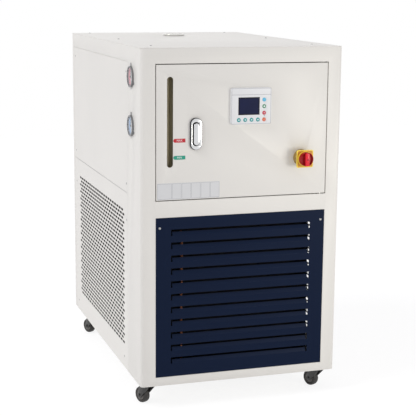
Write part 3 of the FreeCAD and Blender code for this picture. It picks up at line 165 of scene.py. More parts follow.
lamp("left_lamp", "SUN", 1.25, (-3.0, -0.35, 3.7), (1.0, 0.99, 0.985), radians(28))
lamp("front_lamp", "AREA", 9, (1.15, -2.0, 0.76), (1.0, 0.97, 0.88), 0.6)


# Cabinet frame. One wrap of 1.5 mm steel sheet, folded and welded, with window openings for
# the door, the grille and the panels, in a white powder coat with a faint orange peel.
def surface(name, colour, roughness, metallic=0.0, mottle=(5.0, 0.02), grain=(90.0, 0.04),
            bump=(900.0, 0.00003), stretch=(1, 1, 1), cells=False, **sockets):
    """A finish whose colour, gloss and height vary at the given scales per metre."""
    made = bpy.data.materials.new(name)
    made.use_nodes = True
    tree = made.node_tree
    shader = tree.nodes["Principled BSDF"]
    shader.inputs["Metallic"].default_value = metallic
    for socket, value in sockets.items():
        shader.inputs[socket.replace("_", " ")].default_value = value
    where = tree.nodes.new("ShaderNodeTexCoord")
    mapping = tree.nodes.new("ShaderNodeMapping")
    mapping.inputs["Scale"].default_value = stretch
    tree.links.new(where.outputs["Object"], mapping.inputs["Vector"])

    def pattern(scale, flat_cells):
        kind = "ShaderNodeTexVoronoi" if flat_cells else "ShaderNodeTexNoise"
        node = tree.nodes.new(kind)
        node.inputs["Scale"].default_value = scale
        tree.links.new(mapping.outputs["Vector"], node.inputs["Vector"])
        return node.outputs["Color"] if flat_cells else node.outputs["Fac"]

    mix = tree.nodes.new("ShaderNodeMix")
    mix.data_type = "RGBA"
    low = [channel * (1 - mottle[1]) for channel in colour]
    high = [min(1.0, channel * (1 + mottle[1])) for channel in colour]
    mix.inputs[6].default_value = (*low, 1)
    mix.inputs[7].default_value = (*high, 1)
    tree.links.new(pattern(mottle[0], cells), mix.inputs[0])
    tree.links.new(mix.outputs[2], shader.inputs["Base Color"])
    gloss = tree.nodes.new("ShaderNodeMapRange")
    gloss.inputs["To Min"].default_value = max(0.0, roughness - grain[1])
    gloss.inputs["To Max"].default_value = min(1.0, roughness + grain[1])
    tree.links.new(pattern(grain[0], cells), gloss.inputs["Value"])
    tree.links.new(gloss.outputs["Result"], shader.inputs["Roughness"])
    height = tree.nodes.new("ShaderNodeBump")
    height.inputs["Distance"].default_value = bump[1]
    tree.links.new(pattern(bump[0], False), height.inputs["Height"])
    tree.links.new(height.outputs["Normal"], shader.inputs["Normal"])
    return made


def piece(name, bm, body, slot, material, *nodes, smooth=32):
    """Makes an object of a finished mesh and hangs it on its body."""
    mesh = bpy.data.meshes.new(name)
    bm.to_mesh(mesh)
    bm.free()
    mesh.materials.append(material)
    mesh.shade_smooth()
    mesh.set_sharp_from_angle(angle=radians(smooth))
    made = bpy.data.objects.new(name, mesh)
    bpy.context.scene.collection.objects.link(made)
    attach(made, body)
    if nodes:
        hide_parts(*nodes)


def joined(node):
    """A copy of a CAD node's mesh with its triangles merged into whole faces."""
    bm = bmesh.new()
    bm.from_mesh(frame["nodes"][node].data)
    bmesh.ops.remove_doubles(bm, verts=bm.verts, dist=0.00001)
    bmesh.ops.dissolve_limit(bm, angle_limit=radians(0.4), verts=bm.verts, edges=bm.edges)
    return bm


def ease(bm, width, segments=2, sharp=25, chosen=None):
    """Rounds the sharp edges of a mesh, or those of them that are chosen."""
    edges = []
    for edge in bm.edges:
        if len(edge.link_faces) != 2 or edge.calc_face_angle() < radians(sharp):
            continue
        if chosen is None or chosen(edge):
            edges.append(edge)
    bmesh.ops.bevel(bm, geom=edges, offset=width, offset_type="OFFSET", affect="EDGES",
                    segments=segments, profile=0.5, material=-1, clamp_overlap=True)


def eased(name, node, width, material, slot, segments=2, sharp=25):
    """A CAD node with its sharp edges rounded, in its finish, in the node's place."""
    bm = joined(node)
    ease(bm, width, segments, sharp)
    piece(name, bm, frame["nodes"][node]["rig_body"], slot, material, node)


EDGE_RADIUS = 0.0004
cabinet_coat = surface("cabinet_coat", (0.80, 0.785, 0.740), 0.40, Specular_IOR_Level=0.45)
eased("cabinet_wrap", "cabinet_frame", EDGE_RADIUS, cabinet_coat, "cabinet_paint", sharp=40)


# Base tray and equipment shelf. The tray closes the cabinet's foot in the cabinet's own coat. The
# shelf, bare sheet with the grain of its zinc, carries the tank and the electrical box.
def painted(material, *nodes):
    """Gives CAD nodes that keep their own mesh a finish."""
    for node in nodes:
        for slot in frame["nodes"][node].material_slots:
            slot.material = material


zinc = surface("galvanized_zinc", (0.56, 0.58, 0.60), 0.42, 1.0, mottle=(110.0, 0.22),
               grain=(110.0, 0.10), bump=(300.0, 0.00002), cells=True)
painted(zinc, "equipment_shelf")
painted(cabinet_coat, "base_tray")

# Top cover. A flat 2 mm sheet over the whole cabinet, held by six pan-head screws in two rows
# along its sides.
TOP_HEIGHT = 1.126
eased("top_sheet", "top_cover", 0.0007, cabinet_coat, "cabinet_paint")


def lathe(points, steps=32):
    """A closed shape turned about Z from (radius, height) points, its ends on the axis."""
    bm = bmesh.new()
    verts = [bm.verts.new((radius, 0, height)) for radius, height in points]
    edges = [bm.edges.new(pair) for pair in zip(verts, verts[1:])]
    bmesh.ops.spin(bm, geom=verts + edges, cent=(0, 0, 0), axis=(0, 0, 1), dvec=(0, 0, 0),
                   angle=2 * pi, steps=steps, use_merge=True, use_duplicate=False)
    bmesh.ops.remove_doubles(bm, verts=bm.verts, dist=0.000001)
    bmesh.ops.recalc_face_normals(bm, faces=bm.faces)
    return bm


def cut_out(bm, cutter):
    """The first mesh with the second taken out of it."""
    scene = bpy.context.scene.collection
    rough = []
    for label, source in (("blank", bm), ("cutter", cutter)):
        mesh = bpy.data.meshes.new(label)
        source.to_mesh(mesh)
        source.free()
        rough.append(bpy.data.objects.new(label, mesh))
        scene.objects.link(rough[-1])
    modifier = rough[0].modifiers.new("cut", "BOOLEAN")
    modifier.operation = "DIFFERENCE"
    modifier.solver = "EXACT"
    modifier.object = rough[1]
    graph = bpy.context.evaluated_depsgraph_get()
    whole = bpy.data.meshes.new_from_object(rough[0].evaluated_get(graph))
    made = bmesh.new()
    made.from_mesh(whole)
    for spent in rough:
        mesh = spent.data
        bpy.data.objects.remove(spent)
        bpy.data.meshes.remove(mesh)
    bpy.data.meshes.remove(whole)
    return made


def slab(bm, low, high):
    """A plain block between two corners, for a mesh to be cut or eased."""
    size = Vector(high) - Vector(low)
    middle = (Vector(high) + Vector(low)) / 2
    return bmesh.ops.create_cube(bm, size=1.0, matrix=Matrix.Translation(middle)
                                 @ Matrix.Diagonal((*size, 1)))["verts"]


CROSS_ARM = 0.0021
CROSS_WEB = 0.0005


def crossed(head, top, bottom):
    """A screw's head with the cross that a screwdriver fits."""
    for half_x, half_y in ((CROSS_ARM, CROSS_WEB), (CROSS_WEB, CROSS_ARM)):
        arm = bmesh.new()
        slab(arm, (-half_x, -half_y, bottom), (half_x, half_y, top))
        head = cut_out(head, arm)
    return head


def kept(bm):
    """A mesh put by, for copies to be taken from."""
    mesh = bpy.data.meshes.new("pattern")
    bm.to_mesh(mesh)
    bm.free()
    return mesh


def copies(pattern, places):
    """One mesh with a copy of the pattern at each place, each a matrix."""
    bm = bmesh.new()
    for place in places:
        already = len(bm.verts)
        bm.from_mesh(pattern)
        bm.verts.ensure_lookup_table()
        bmesh.ops.transform(bm, matrix=place, verts=bm.verts[already:])
    return bm


FACING = {
    "up": Matrix.Identity(4),
    "left": Matrix.Rotation(radians(-90), 4, "Y"),
    "right": Matrix.Rotation(radians(90), 4, "Y"),
    "front": Matrix.Rotation(radians(90), 4, "X"),
    "rear": Matrix.Rotation(radians(-90), 4, "X"),
}


def spots(facing, *centres):
    """Places at the given points, turned to face one way."""
    return [Matrix.Translation(centre) @ FACING[facing] for centre in centres]


screw_steel = surface("screw_steel", (0.36, 0.36, 0.36), 0.34, 1.0, mottle=(200.0, 0.08))
pan_head = lathe([(0, 0.0019), (0.0018, 0.0018), (0.0031, 0.0013), (0.0038, 0.0006),
                  (0.0040, 0), (0, 0)], 24)
pan_head = kept(crossed(pan_head, 0.003, 0.0008))
top_spots = [(x, y, TOP_HEIGHT) for x in (-0.265, 0.265) for y in (-0.400, 0.015, 0.470)]
piece("top_screws", copies(pan_head, spots("up", *top_spots)), "cabinet", "steel", screw_steel)

# Side panels. Four flat sheets set flush in the sides, held by countersunk screws. The lower two
# are thinner and punched with a staggered field of slots; a black sheet behind the left one's
# slots paints the shade inside the cabinet.
PANEL_THICKNESS = 0.0015
PUNCHED_THICKNESS = 0.0005
SIDE = 0.325
PANEL_FRONT = -0.341
PANEL_REAR = 0.469
SLOT_RADIUS = 0.0039
SLOT_LENGTH = 0.0265
FIELD_FRONT = -0.300
FIELD_REAR = 0.390
FIELD_BOTTOM = 0.153
FIELD_TOP = 0.605
FIELD_COLUMNS = 21
FIELD_ROWS = 34
HEAD_RADIUS = 0.0042
SHADE_SHEET_MARGIN = 0.008
SHADE_SHEET_GAP = 0.0001

sunk_head = lathe([(0, -0.0002), (HEAD_RADIUS - 0.0003, -0.0002), (HEAD_RADIUS, -0.0005),
                   (0.0019, -0.0026), (0, -0.0026)], 24)
sunk_head = kept(crossed(sunk_head, 0.001, -0.0012))


def bar(radius, depth, sides, turned=Matrix.Identity(4)):
    """A bar about Z with the given number of sides, its middle at the origin."""
    bm = bmesh.new()
    bmesh.ops.create_cone(bm, cap_ends=True, segments=sides, radius1=radius, radius2=radius,
                          depth=depth, matrix=turned)
    return bm


def side_panel(name, node, side, bottom, top, screws, field):
    """One side sheet with its screw seats, and with its field of slots where it has one."""
    facing = "right" if side > 0 else "left"
    outer = side * SIDE
    inner = side * (SIDE - (PUNCHED_THICKNESS if field else PANEL_THICKNESS))
    bm = bmesh.new()
    slab(bm, (min(inner, outer), PANEL_FRONT, bottom), (max(inner, outer), PANEL_REAR, top))
    ease(bm, 0.0003, 1)
    seat = lathe([(0, 0.001), (HEAD_RADIUS + 0.0012, 0.001), (HEAD_RADIUS + 0.0002, 0),
                  (0.0026, -0.002), (0.0026, -0.003), (0, -0.003)], 24)
    seats = spots(facing, *[(outer, y, z) for y, z in screws])
    cutter = copies(kept(seat), seats)
    if field:
        slot = bar(SLOT_RADIUS, 0.006, 16, Matrix.Rotation(pi / 16, 4, "Z"))
        for end in (-1, 1):
            bmesh.ops.translate(slot, vec=(0, end * (SLOT_LENGTH / 2 - SLOT_RADIUS), 0),
                                verts=[vert for vert in slot.verts if vert.co.y * end > 0])
        pitch_y = (FIELD_REAR - FIELD_FRONT) / (FIELD_COLUMNS + 0.5)
        pitch_z = (FIELD_TOP - FIELD_BOTTOM) / FIELD_ROWS
        centres = []
        for row in range(FIELD_ROWS):
            shift = 0.5 if row % 2 else 0.0
            for column in range(FIELD_COLUMNS):
                y = FIELD_FRONT + (column + 0.5 + shift) * pitch_y
                z = FIELD_BOTTOM + (row + 0.5) * pitch_z
                centres.append((outer, y, z))
        cutter.from_mesh(kept(copies(kept(slot), spots(facing, *centres))))
    piece(name, cut_out(bm, cutter), frame["nodes"][node]["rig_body"], "cabinet_paint",
          cabinet_coat, node)
    piece(name + "_screws", copies(sunk_head, seats), "cabinet", "steel", screw_steel)


UPPER_SCREWS = [(-0.328, 0.692), (-0.328, 1.044), (0.447, 0.692), (0.447, 1.044)]
LOWER_SCREWS = [(-0.329, 0.575), (0.445, 0.575), (-0.292, 0.113), (0.430, 0.113)]
side_panel("left_upper_sheet", "left_upper_panel", -1, 0.6635, 1.076, UPPER_SCREWS, False)
side_panel("left_lower_sheet", "left_lower_panel", -1, 0.076, 0.6625, LOWER_SCREWS, True)
side_panel("right_upper_sheet", "right_upper_panel", 1, 0.6635, 1.076, UPPER_SCREWS, False)
side_panel("right_lower_sheet", "right_lower_panel", 1, 0.076, 0.6625, LOWER_SCREWS, True)
# A black sheet just behind the left lower panel's slots: it paints the shade inside the cabinet.
shade_felt = surface("shade_felt", (0.012, 0.012, 0.012), 0.9, mottle=(400.0, 0.4),
                      grain=(400.0, 0.05), Specular_IOR_Level=0.1)
bm = bmesh.new()
slab(bm, (-SIDE + PUNCHED_THICKNESS + SHADE_SHEET_GAP, FIELD_FRONT - SHADE_SHEET_MARGIN,
          FIELD_BOTTOM - SHADE_SHEET_MARGIN),
     (-SIDE + PANEL_THICKNESS, FIELD_REAR + SHADE_SHEET_MARGIN, FIELD_TOP + SHADE_SHEET_MARGIN))
piece("painted_shade_sheet", bm, "cabinet", "black_plastic", shade_felt)

# Rear panels. Two more sheets on the frame's rear lips, the upper one pierced for the hose
# stubs and the lower one slotted, both held by pan-head screws.
REAR = 0.505
eased("rear_upper_sheet", "rear_upper_panel", EDGE_RADIUS, cabinet_coat, "cabinet_paint")
eased("rear_lower_sheet", "rear_lower_panel", EDGE_RADIUS, cabinet_coat, "cabinet_paint")
rear_spots = [(x, REAR, z) for x in (-0.268, 0, 0.268) for z in (0.133, 0.6515, 0.6745, 1.065)]
piece("rear_screws", copies(pan_head, spots("rear", *rear_spots)), "cabinet", "steel",
      screw_steel)

# Intake grille. One sheet with eleven louvers, each cut free along its top and both ends and
# bent inwards about its lower edge, in a navy powder coat, held by pan-head screws.
FRONT = -0.505
GRILLE_HALF = 0.2775
GRILLE_BOTTOM = 0.104
GRILLE_TOP = 0.611
LOUVERS = 11
LOUVER_HALF = 0.229
LOUVER_BOTTOM = 0.1457
LOUVER_PITCH = 0.0408
LOUVER_OPENING = 0.020
END_SLIT = 0.0045
BEND_RADIUS = 0.003
BLADE_LEAN = radians(27)
BLADE_REACH = 0.0120
GRILLE_SCREW_X = 0.265
GRILLE_SCREW_LEVELS = (0.579,)


def free_edge(edge):
    """True for an edge of the sheet that no louver is bent from."""
    steps = [(vert.co.z - LOUVER_BOTTOM) / LOUVER_PITCH for vert in edge.verts]
    return any(abs(step - round(step)) > 0.01 for step in steps)


navy_coat = surface("navy_coat", (0.0030, 0.0095, 0.0320), 0.38, mottle=(6.0, 0.06),
                    bump=(1100.0, 0.00003), Specular_IOR_Level=0.09)
grille = bmesh.new()
slab(grille, (-GRILLE_HALF, FRONT, GRILLE_BOTTOM),
     (GRILLE_HALF, FRONT + PANEL_THICKNESS, GRILLE_TOP))
opening = bmesh.new()
for louver in range(LOUVERS):
    foot = LOUVER_BOTTOM + louver * LOUVER_PITCH
    slab(opening, (-LOUVER_HALF, FRONT - 0.001, foot),
         (LOUVER_HALF, FRONT + 0.003, foot + LOUVER_OPENING))
grille = cut_out(grille, opening)
ease(grille, 0.0003, 1, chosen=free_edge)

blade = bmesh.new()
root = [blade.verts.new((x, FRONT, 0))
        for x in (END_SLIT - LOUVER_HALF, LOUVER_HALF - END_SLIT)]
fold = blade.edges.new(root)
bend = bmesh.ops.spin(blade, geom=[*root, fold], cent=(0, FRONT + BEND_RADIUS, 0),
                      axis=(1, 0, 0), dvec=(0, 0, 0), angle=-BLADE_LEAN, steps=5,
                      use_merge=False, use_duplicate=False)
tip = [item for item in bend["geom_last"] if isinstance(item, bmesh.types.BMEdge)]
tip = bmesh.ops.extrude_edge_only(blade, edges=tip)["geom"]
bmesh.ops.translate(blade, verts=[item for item in tip if isinstance(item, bmesh.types.BMVert)],
                    vec=(0, BLADE_REACH * sin(BLADE_LEAN), BLADE_REACH * cos(BLADE_LEAN)))
blade.normal_update()
outward = [face for face in blade.faces if face.normal.y > 0]
bmesh.ops.reverse_faces(blade, faces=outward)
bmesh.ops.solidify(blade, geom=blade.faces[:], thickness=PANEL_THICKNESS)
bmesh.ops.recalc_face_normals(blade, faces=blade.faces)
ease(blade, 0.0003, 1, sharp=60, chosen=free_edge)
roots = [Matrix.Translation((0, 0, LOUVER_BOTTOM + louver * LOUVER_PITCH))
         for louver in range(LOUVERS)]
grille.from_mesh(kept(copies(kept(blade), roots)))
piece("louver_sheet", grille, "cabinet", "grille_paint", navy_coat, "front_grille")
grille_spots = [(x, FRONT, z) for x in (-GRILLE_SCREW_X, GRILLE_SCREW_X)
                for z in GRILLE_SCREW_LEVELS]
piece("grille_screws", copies(pan_head, spots("front", *grille_spots)), "cabinet", "steel",
      screw_steel)

# Control door. A folded pan hinged on its right edge. On its face are two enamelled tags that
# point at the level slot, and a blank label strip of six cells.
TAG_LEFT = -0.223
TAG_RIGHT = -0.185
TAG_HALF = 0.0058
TAG_SHEET = 0.0004
WORD_X = -0.2035
WORD_SIZE = 0.0085
HIGH_LEVEL = 0.847
LOW_LEVEL = 0.795
STRIP_LEFT = -0.274
STRIP_RIGHT = -0.0746
STRIP_LOW = 0.667
STRIP_HIGH = 0.718
STRIP_SHEET = 0.00015
FIRST_CELL = 0.047
CELLS = 6
LINE_WIDTH = 0.0006


def print_on(words, size, place):
    """Words as a thin raised print, centred on a place and facing as it does."""
    curve = bpy.data.curves.new("print", "FONT")
    curve.body = words
    curve.size = size
    curve.extrude = 0.00005
    curve.align_x = "CENTER"
    curve.align_y = "CENTER"
    made = bpy.data.objects.new("print", curve)
    bpy.context.scene.collection.objects.link(made)
    graph = bpy.context.evaluated_depsgraph_get()
    mesh = bpy.data.meshes.new_from_object(made.evaluated_get(graph))
    bpy.data.objects.remove(made)
    bpy.data.curves.remove(curve)
    mesh.transform(place)
    return mesh


def frame_line(bm, low, high, front, width):
    """A thin upright rectangle of four printed lines between two (x, z) corners."""
    back = front + 0.0001
    left, bottom = low
    right, top = high
    slab(bm, (left, front, bottom), (right, back, bottom + width))
    slab(bm, (left, front, top - width), (right, back, top))
    slab(bm, (left, front, bottom + width), (left + width, back, top - width))
    slab(bm, (right - width, front, bottom + width), (right, back, top - width))


def tag(name, middle, enamel, words):
    """A tag with a rounded nose on its left, its word in white print."""
    bm = bmesh.new()
    slab(bm, (TAG_LEFT, FRONT - TAG_SHEET, middle - TAG_HALF),
         (TAG_RIGHT, FRONT, middle + TAG_HALF))
    nose = [edge for edge in bm.edges
            if all(vert.co.x < TAG_LEFT + 0.0001 for vert in edge.verts)
            and abs(edge.verts[0].co.y - edge.verts[1].co.y) > TAG_SHEET / 2]
    bmesh.ops.bevel(bm, geom=nose, offset=TAG_HALF * 0.95, affect="EDGES", segments=5,
                    profile=0.5, material=-1)
    piece(name, bm, "door", "cabinet_paint", enamel)
    word = bmesh.new()
    place = spots("front", (WORD_X, FRONT - TAG_SHEET, middle))[0]
    word.from_mesh(print_on(words, WORD_SIZE, place))
    piece(name + "_print", word, "door", "cabinet_paint", white_print)


eased("door_pan", "front_door", 0.0006, cabinet_coat, "cabinet_paint")
white_print = surface("white_print", (0.86, 0.87, 0.88), 0.5, mottle=(300.0, 0.02))
# A grey for the label's printed cell lines and for the controller's painted shade lines.
grey_print_and_shade = surface("grey_print_and_shade", (0.38, 0.39, 0.41), 0.5, mottle=(300.0, 0.04))
red_enamel = surface("red_enamel", (0.55, 0.012, 0.024), 0.35, mottle=(60.0, 0.06))
green_enamel = surface("green_enamel", (0.010, 0.32, 0.215), 0.35, mottle=(60.0, 0.06))
tag("high_level_tag", HIGH_LEVEL, red_enamel, "MAX")
tag("low_level_tag", LOW_LEVEL, green_enamel, "MIN")

label_film = surface("label_film", (0.70, 0.71, 0.715), 0.30, mottle=(40.0, 0.02))
bm = bmesh.new()
slab(bm, (STRIP_LEFT, FRONT - STRIP_SHEET, STRIP_LOW), (STRIP_RIGHT, FRONT, STRIP_HIGH))
piece("label_strip", bm, "door", "cabinet_paint", label_film)
bm = bmesh.new()
cell = (STRIP_RIGHT - STRIP_LEFT - FIRST_CELL) / (CELLS - 1)
start = STRIP_LEFT
for index in range(CELLS):
    end = start + (cell if index else FIRST_CELL)
    frame_line(bm, (start + 0.001, STRIP_LOW + 0.002), (end - 0.001, STRIP_HIGH - 0.002),
               FRONT - STRIP_SHEET - 0.0001, LINE_WIDTH)
    start = end
piece("label_cells", bm, "door", "cabinet_paint", grey_print_and_shade)

# Level gauge. A glass tube of amber oil in two clamps on its post, before an olive board
# that fills the view through the door's slot.
TUBE_X = -0.2335
TUBE_Y = -0.4765
TUBE_LOW = 0.757
TUBE_LENGTH = 0.291
BOARD_LEFT = -0.2470
BOARD_RIGHT = -0.2030
BOARD_FRONT = -0.4694
BOARD_BACK = -0.4682
amber_oil = surface("amber_oil", (0.50, 0.42, 0.235), 0.22, mottle=(9.0, 0.14), Coat_Weight=0.8,
                    Coat_Roughness=0.05)
olive_board = surface("olive_board", (0.50, 0.43, 0.25), 0.6, mottle=(7.0, 0.18))
bm = lathe([(0, 0), (0.0060, 0), (0.0070, 0.001), (0.0070, TUBE_LENGTH - 0.001),
            (0.0060, TUBE_LENGTH), (0, TUBE_LENGTH)], 40)
bmesh.ops.translate(bm, vec=(TUBE_X, TUBE_Y, TUBE_LOW), verts=bm.verts)
piece("level_tube", bm, "cabinet", "sight_glass", amber_oil, "sight_tube")
bm = bmesh.new()
slab(bm, (BOARD_LEFT, BOARD_FRONT, TUBE_LOW), (BOARD_RIGHT, BOARD_BACK, TUBE_LOW + TUBE_LENGTH))
ease(bm, 0.0003, 1)
piece("level_board", bm, "cabinet", "sight_glass", olive_board)

# Door latch. A black housing with full round ends let into the door and a black rim round it,
# which paint the shade and the dark reflection along the latch's sides, a chromed cover on it, a
# chromed lever that lifts out, the lock barrel at the lever's foot and the zinc cam behind.
LATCH_X = -0.1525
HOUSING_LOW = (-0.1700, 0.8180)
HOUSING_HIGH = (-0.1350, 0.9140)
POCKET_LOW = (-0.1655, 0.8295)
POCKET_HIGH = (-0.1415, 0.9030)
LEVER_LOW = (-0.1612, 0.8320)
LEVER_HIGH = (-0.1422, 0.8990)
LOCK_HEIGHT = 0.842
LEVER_FRONT = -0.5150
LEVER_BACK = -0.5060
COVER_FRONT = -0.5126
COVER_BACK = -0.5112


def full_round(low, high, front, back, grow=0.0):
    """An upright plate with full round ends between two (x, z) corners, grown by a margin."""
    bm = bmesh.new()
    low = [value - grow for value in low]
    high = [value + grow for value in high]
    slab(bm, (low[0], front, low[1]), (high[0], back, high[1]))
    ends = [edge for edge in bm.edges
            if abs(edge.verts[0].co.y - edge.verts[1].co.y) > abs(back - front) / 2]
    bmesh.ops.bevel(bm, geom=ends, offset=(high[0] - low[0]) * 0.495, affect="EDGES", segments=10,
                    profile=0.5, material=-1)
    return bm


chrome_plate = surface("chrome_plate", (0.66, 0.67, 0.68), 0.16, 1.0, mottle=(12.0, 0.05),
                       grain=(60.0, 0.03))
# A black that paints the shade and the dark reflection on the latch's sides.
latch_shade_black = surface("latch_shade_black", (0.020, 0.020, 0.021), 0.5, mottle=(60.0, 0.15),
                      Specular_IOR_Level=0.15)
eased("latch_shell", "latch_housing", 0.0008, latch_shade_black, "black_plastic", sharp=40)
# A black rim round the housing, which paints the shadow line at its edge.
bm = full_round(HOUSING_LOW, HOUSING_HIGH, FRONT - 0.0015, FRONT, grow=0.001)
piece("latch_shade_rim", bm, "door", "black_plastic", latch_shade_black)
bm = full_round(HOUSING_LOW, HOUSING_HIGH, COVER_FRONT, COVER_BACK, grow=-0.0005)
bm = cut_out(bm, full_round(POCKET_LOW, POCKET_HIGH, -0.5140, -0.5100))
ease(bm, 0.0005, 2, sharp=60)
piece("latch_cover", bm, "door", "chrome", chrome_plate)
bm = full_round(LEVER_LOW, LEVER_HIGH, LEVER_FRONT, LEVER_BACK)
ease(bm, 0.0022, 3, sharp=60)
piece("latch_handle", bm, "latch_lever", "chrome", chrome_plate, "latch_lever")
barrel = lathe([(0, 0.0008), (0.0040, 0.0008), (0.0046, 0.0003), (0.0046, -0.0004),
                (0, -0.0004)], 28)
keyway = bmesh.new()
slab(keyway, (-0.0005, -0.0022, -0.0001), (0.0005, 0.0022, 0.002))
barrel = kept(cut_out(barrel, keyway))
lock = spots("front", (LATCH_X, LEVER_FRONT + 0.0006, LOCK_HEIGHT))
piece("latch_lock", copies(barrel, lock), "latch_lever", "chrome", chrome_plate)
eased("latch_arm", "latch_cam", 0.0005, zinc, "galvanized")

# Controller. A moulded pale case clamped in the door, with a groove under its title band, a
# dark display in a black border, and eight round keys, most with a pale centre. Grey lines paint
# the bezel's shadow round the case and the shade in the title groove.
CASE_FRONT = -0.513
KEY_FRONT = -0.5142
SCREEN_LOW = (-0.0195, 0.920)
SCREEN_HIGH = (0.0495, 0.974)
BORDER_WIDTH = 0.0040
BEZEL_SHADOW_LOW = (-0.0415, 0.8925)
BEZEL_SHADOW_HIGH = (0.0865, 1.0015)
BEZEL_SHADOW_WIDTH = 0.0011
GROOVE_SHADE_LOW = 0.9812
GROOVE_SHADE_HIGH = 0.9822
PRINT_SHEET = 0.0001
RUN_LAMP = (0.065, CASE_FRONT, 0.9165)
case_plastic = surface("case_plastic", (0.80, 0.81, 0.82), 0.42, mottle=(8.0, 0.015),
                       bump=(1500.0, 0.00002))
eased("controller_shell", "controller_case", 0.0010, case_plastic, "grey_plastic", segments=3,
      sharp=40)
lcd = surface("lcd", (0.009, 0.013, 0.050), 0.24, mottle=(30.0, 0.2), Specular_IOR_Level=0.12)
black_border = surface("black_border", (0.008, 0.009, 0.022), 0.35, mottle=(80.0, 0.2),
                       Specular_IOR_Level=0.12)
painted(lcd, "display_window")
bm = bmesh.new()
frame_line(bm, SCREEN_LOW, SCREEN_HIGH, CASE_FRONT - PRINT_SHEET, BORDER_WIDTH)
piece("display_border", bm, "door", "display", black_border)
# Grey lines that paint the bezel's shadow round the case and the shade in the title groove.
bm = bmesh.new()
frame_line(bm, BEZEL_SHADOW_LOW, BEZEL_SHADOW_HIGH, CASE_FRONT - PRINT_SHEET, BEZEL_SHADOW_WIDTH)
slab(bm, (BEZEL_SHADOW_LOW[0], CASE_FRONT - PRINT_SHEET, GROOVE_SHADE_LOW),
     (BEZEL_SHADOW_HIGH[0], CASE_FRONT, GROOVE_SHADE_HIGH))
piece("controller_shade_lines", bm, "door", "grey_plastic", grey_print_and_shade)

key_cap = kept(lathe([(0, 0), (0.0030, -0.00005), (0.0050, -0.0002), (0.0058, -0.0007),
                      (0.0059, -0.0012), (0.0059, -0.0048), (0, -0.0048)], 36))
key_finish = {
    "column_key_1": ("key_blue", (0.115, 0.50, 0.74), 0),
    "column_key_2": ("key_green", (0.045, 0.27, 0.135), 0.0027),
    "column_key_3": ("key_red", (0.56, 0.040, 0.075), 0.0013),
    "column_key_4": ("key_orange", (0.74, 0.19, 0.105), 0),
}
for index in range(4):
    key_finish[f"row_key_{index + 1}"] = ("key_teal", (0.012, 0.34, 0.34), 0.0021)
plastics = {}
for key, (slot, colour, centre) in key_finish.items():
    if slot not in plastics:
        plastics[slot] = surface(slot, colour, 0.38, mottle=(90.0, 0.04))
    low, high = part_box(key)
    spot = ((low.x + high.x) / 2, KEY_FRONT, (low.z + high.z) / 2)
    piece(key + "_cap", copies(key_cap, spots("front", spot)), key, slot, plastics[slot], key)
    if centre:
        mark = lathe([(0, 0.00006), (centre, 0.00006), (centre + 0.0001, -0.0002), (0, -0.0002)],
                     24)
        piece(key + "_mark", copies(kept(mark), spots("front", spot)), key, slot, white_print)
led = kept(lathe([(0, 0.0006), (0.0008, 0.0005), (0.0012, 0), (0, 0)], 16))
piece("run_lamp", copies(led, spots("front", RUN_LAMP)), "door", "black_plastic", black_border)

# Isolator. A round base in a darker yellow that paints its shade, a square yellow plate with a
# raised rim, an amber film that paints the shade in its tray, and a ring, and a red cupped knob
# whose grip turns from 0 to 1. The cup is a darker red than the grip, which paints the shade in
# its dish, and a black patch on its rim paints the shade of a notch. The switch block sits
# behind the door.
ISOLATOR_X = 0.193
ISOLATOR_Z = 0.7815
PLATE_BACK = -0.535
PLATE_HALF = 0.02725
PLATE_RIM = 0.0030
TRAY_FLOOR = 0.0026
KNOB_BACK = -0.5413
KNOB_RADIUS = 0.022
GRIP_HALF = 0.0058
GRIP_REACH = 0.0202
MARK_SIZE = 0.0042
MARK_INSET = 0.0050


def standing(edge):
    """True for an edge that runs along the mesh's own Z."""
    return abs(edge.verts[0].co.z - edge.verts[1].co.z) > 0.001


def at_isolator(bm, y):
    """The mesh moved to the isolator's axis, turned to the front."""
    bmesh.ops.transform(bm, matrix=spots("front", (ISOLATOR_X, y, ISOLATOR_Z))[0], verts=bm.verts)
    return bm


yellow_plastic = surface("yellow_plastic", (0.93, 0.70, 0.055), 0.30, mottle=(30.0, 0.04),
                         Coat_Weight=0.2)
# A darker amber that paints the shade in the plate's tray.
tray_shade_amber = surface("tray_shade_amber", (0.62, 0.27, 0.012), 0.40, mottle=(30.0, 0.06))
# A darker yellow that paints the shade on the isolator's base.
shaded_yellow_plastic = surface("shaded_yellow_plastic", (0.36, 0.23, 0.050), 0.45, mottle=(30.0, 0.06))
red_plastic = surface("red_plastic", (0.78, 0.024, 0.040), 0.24, mottle=(30.0, 0.05),
                      Specular_IOR_Level=0.3)
# A darker red that paints the shade in the knob's dish.
dish_shade_red = surface("dish_shade_red", (0.36, 0.003, 0.006), 0.30, mottle=(30.0, 0.08),
                   Specular_IOR_Level=0.2)
black_plastic = surface("black_plastic", (0.018, 0.018, 0.019), 0.5, mottle=(60.0, 0.15))
base = lathe([(0, 0.030), (0.0240, 0.030), (0.0250, 0.029), (0.0250, 0.001), (0.0258, 0),
              (0, 0)], 64)
base = at_isolator(base, FRONT)
plate = bmesh.new()
slab(plate, (-PLATE_HALF, -PLATE_HALF, 0), (PLATE_HALF, PLATE_HALF, 0.004))
ease(plate, 0.004, 4, chosen=standing)
tray = bmesh.new()
inner = PLATE_HALF - PLATE_RIM
slab(tray, (-inner, -inner, TRAY_FLOOR), (inner, inner, 0.006))
ease(tray, 0.003, 4, chosen=standing)
plate = cut_out(plate, tray)
ease(plate, 0.0006, 2, sharp=40)
ring = lathe([(0, 0.0060), (0.0222, 0.0060), (0.0235, 0.0052), (0.0238, 0.0024), (0, 0.0024)], 64)
plate.from_mesh(kept(ring))
# The base is a darker yellow than the plate, which paints the shade on it.
piece("isolator_base", base, "door", "yellow_plastic", shaded_yellow_plastic, "isolator_plate")
piece("isolator_cover", at_isolator(plate, PLATE_BACK), "door", "yellow_plastic", yellow_plastic)
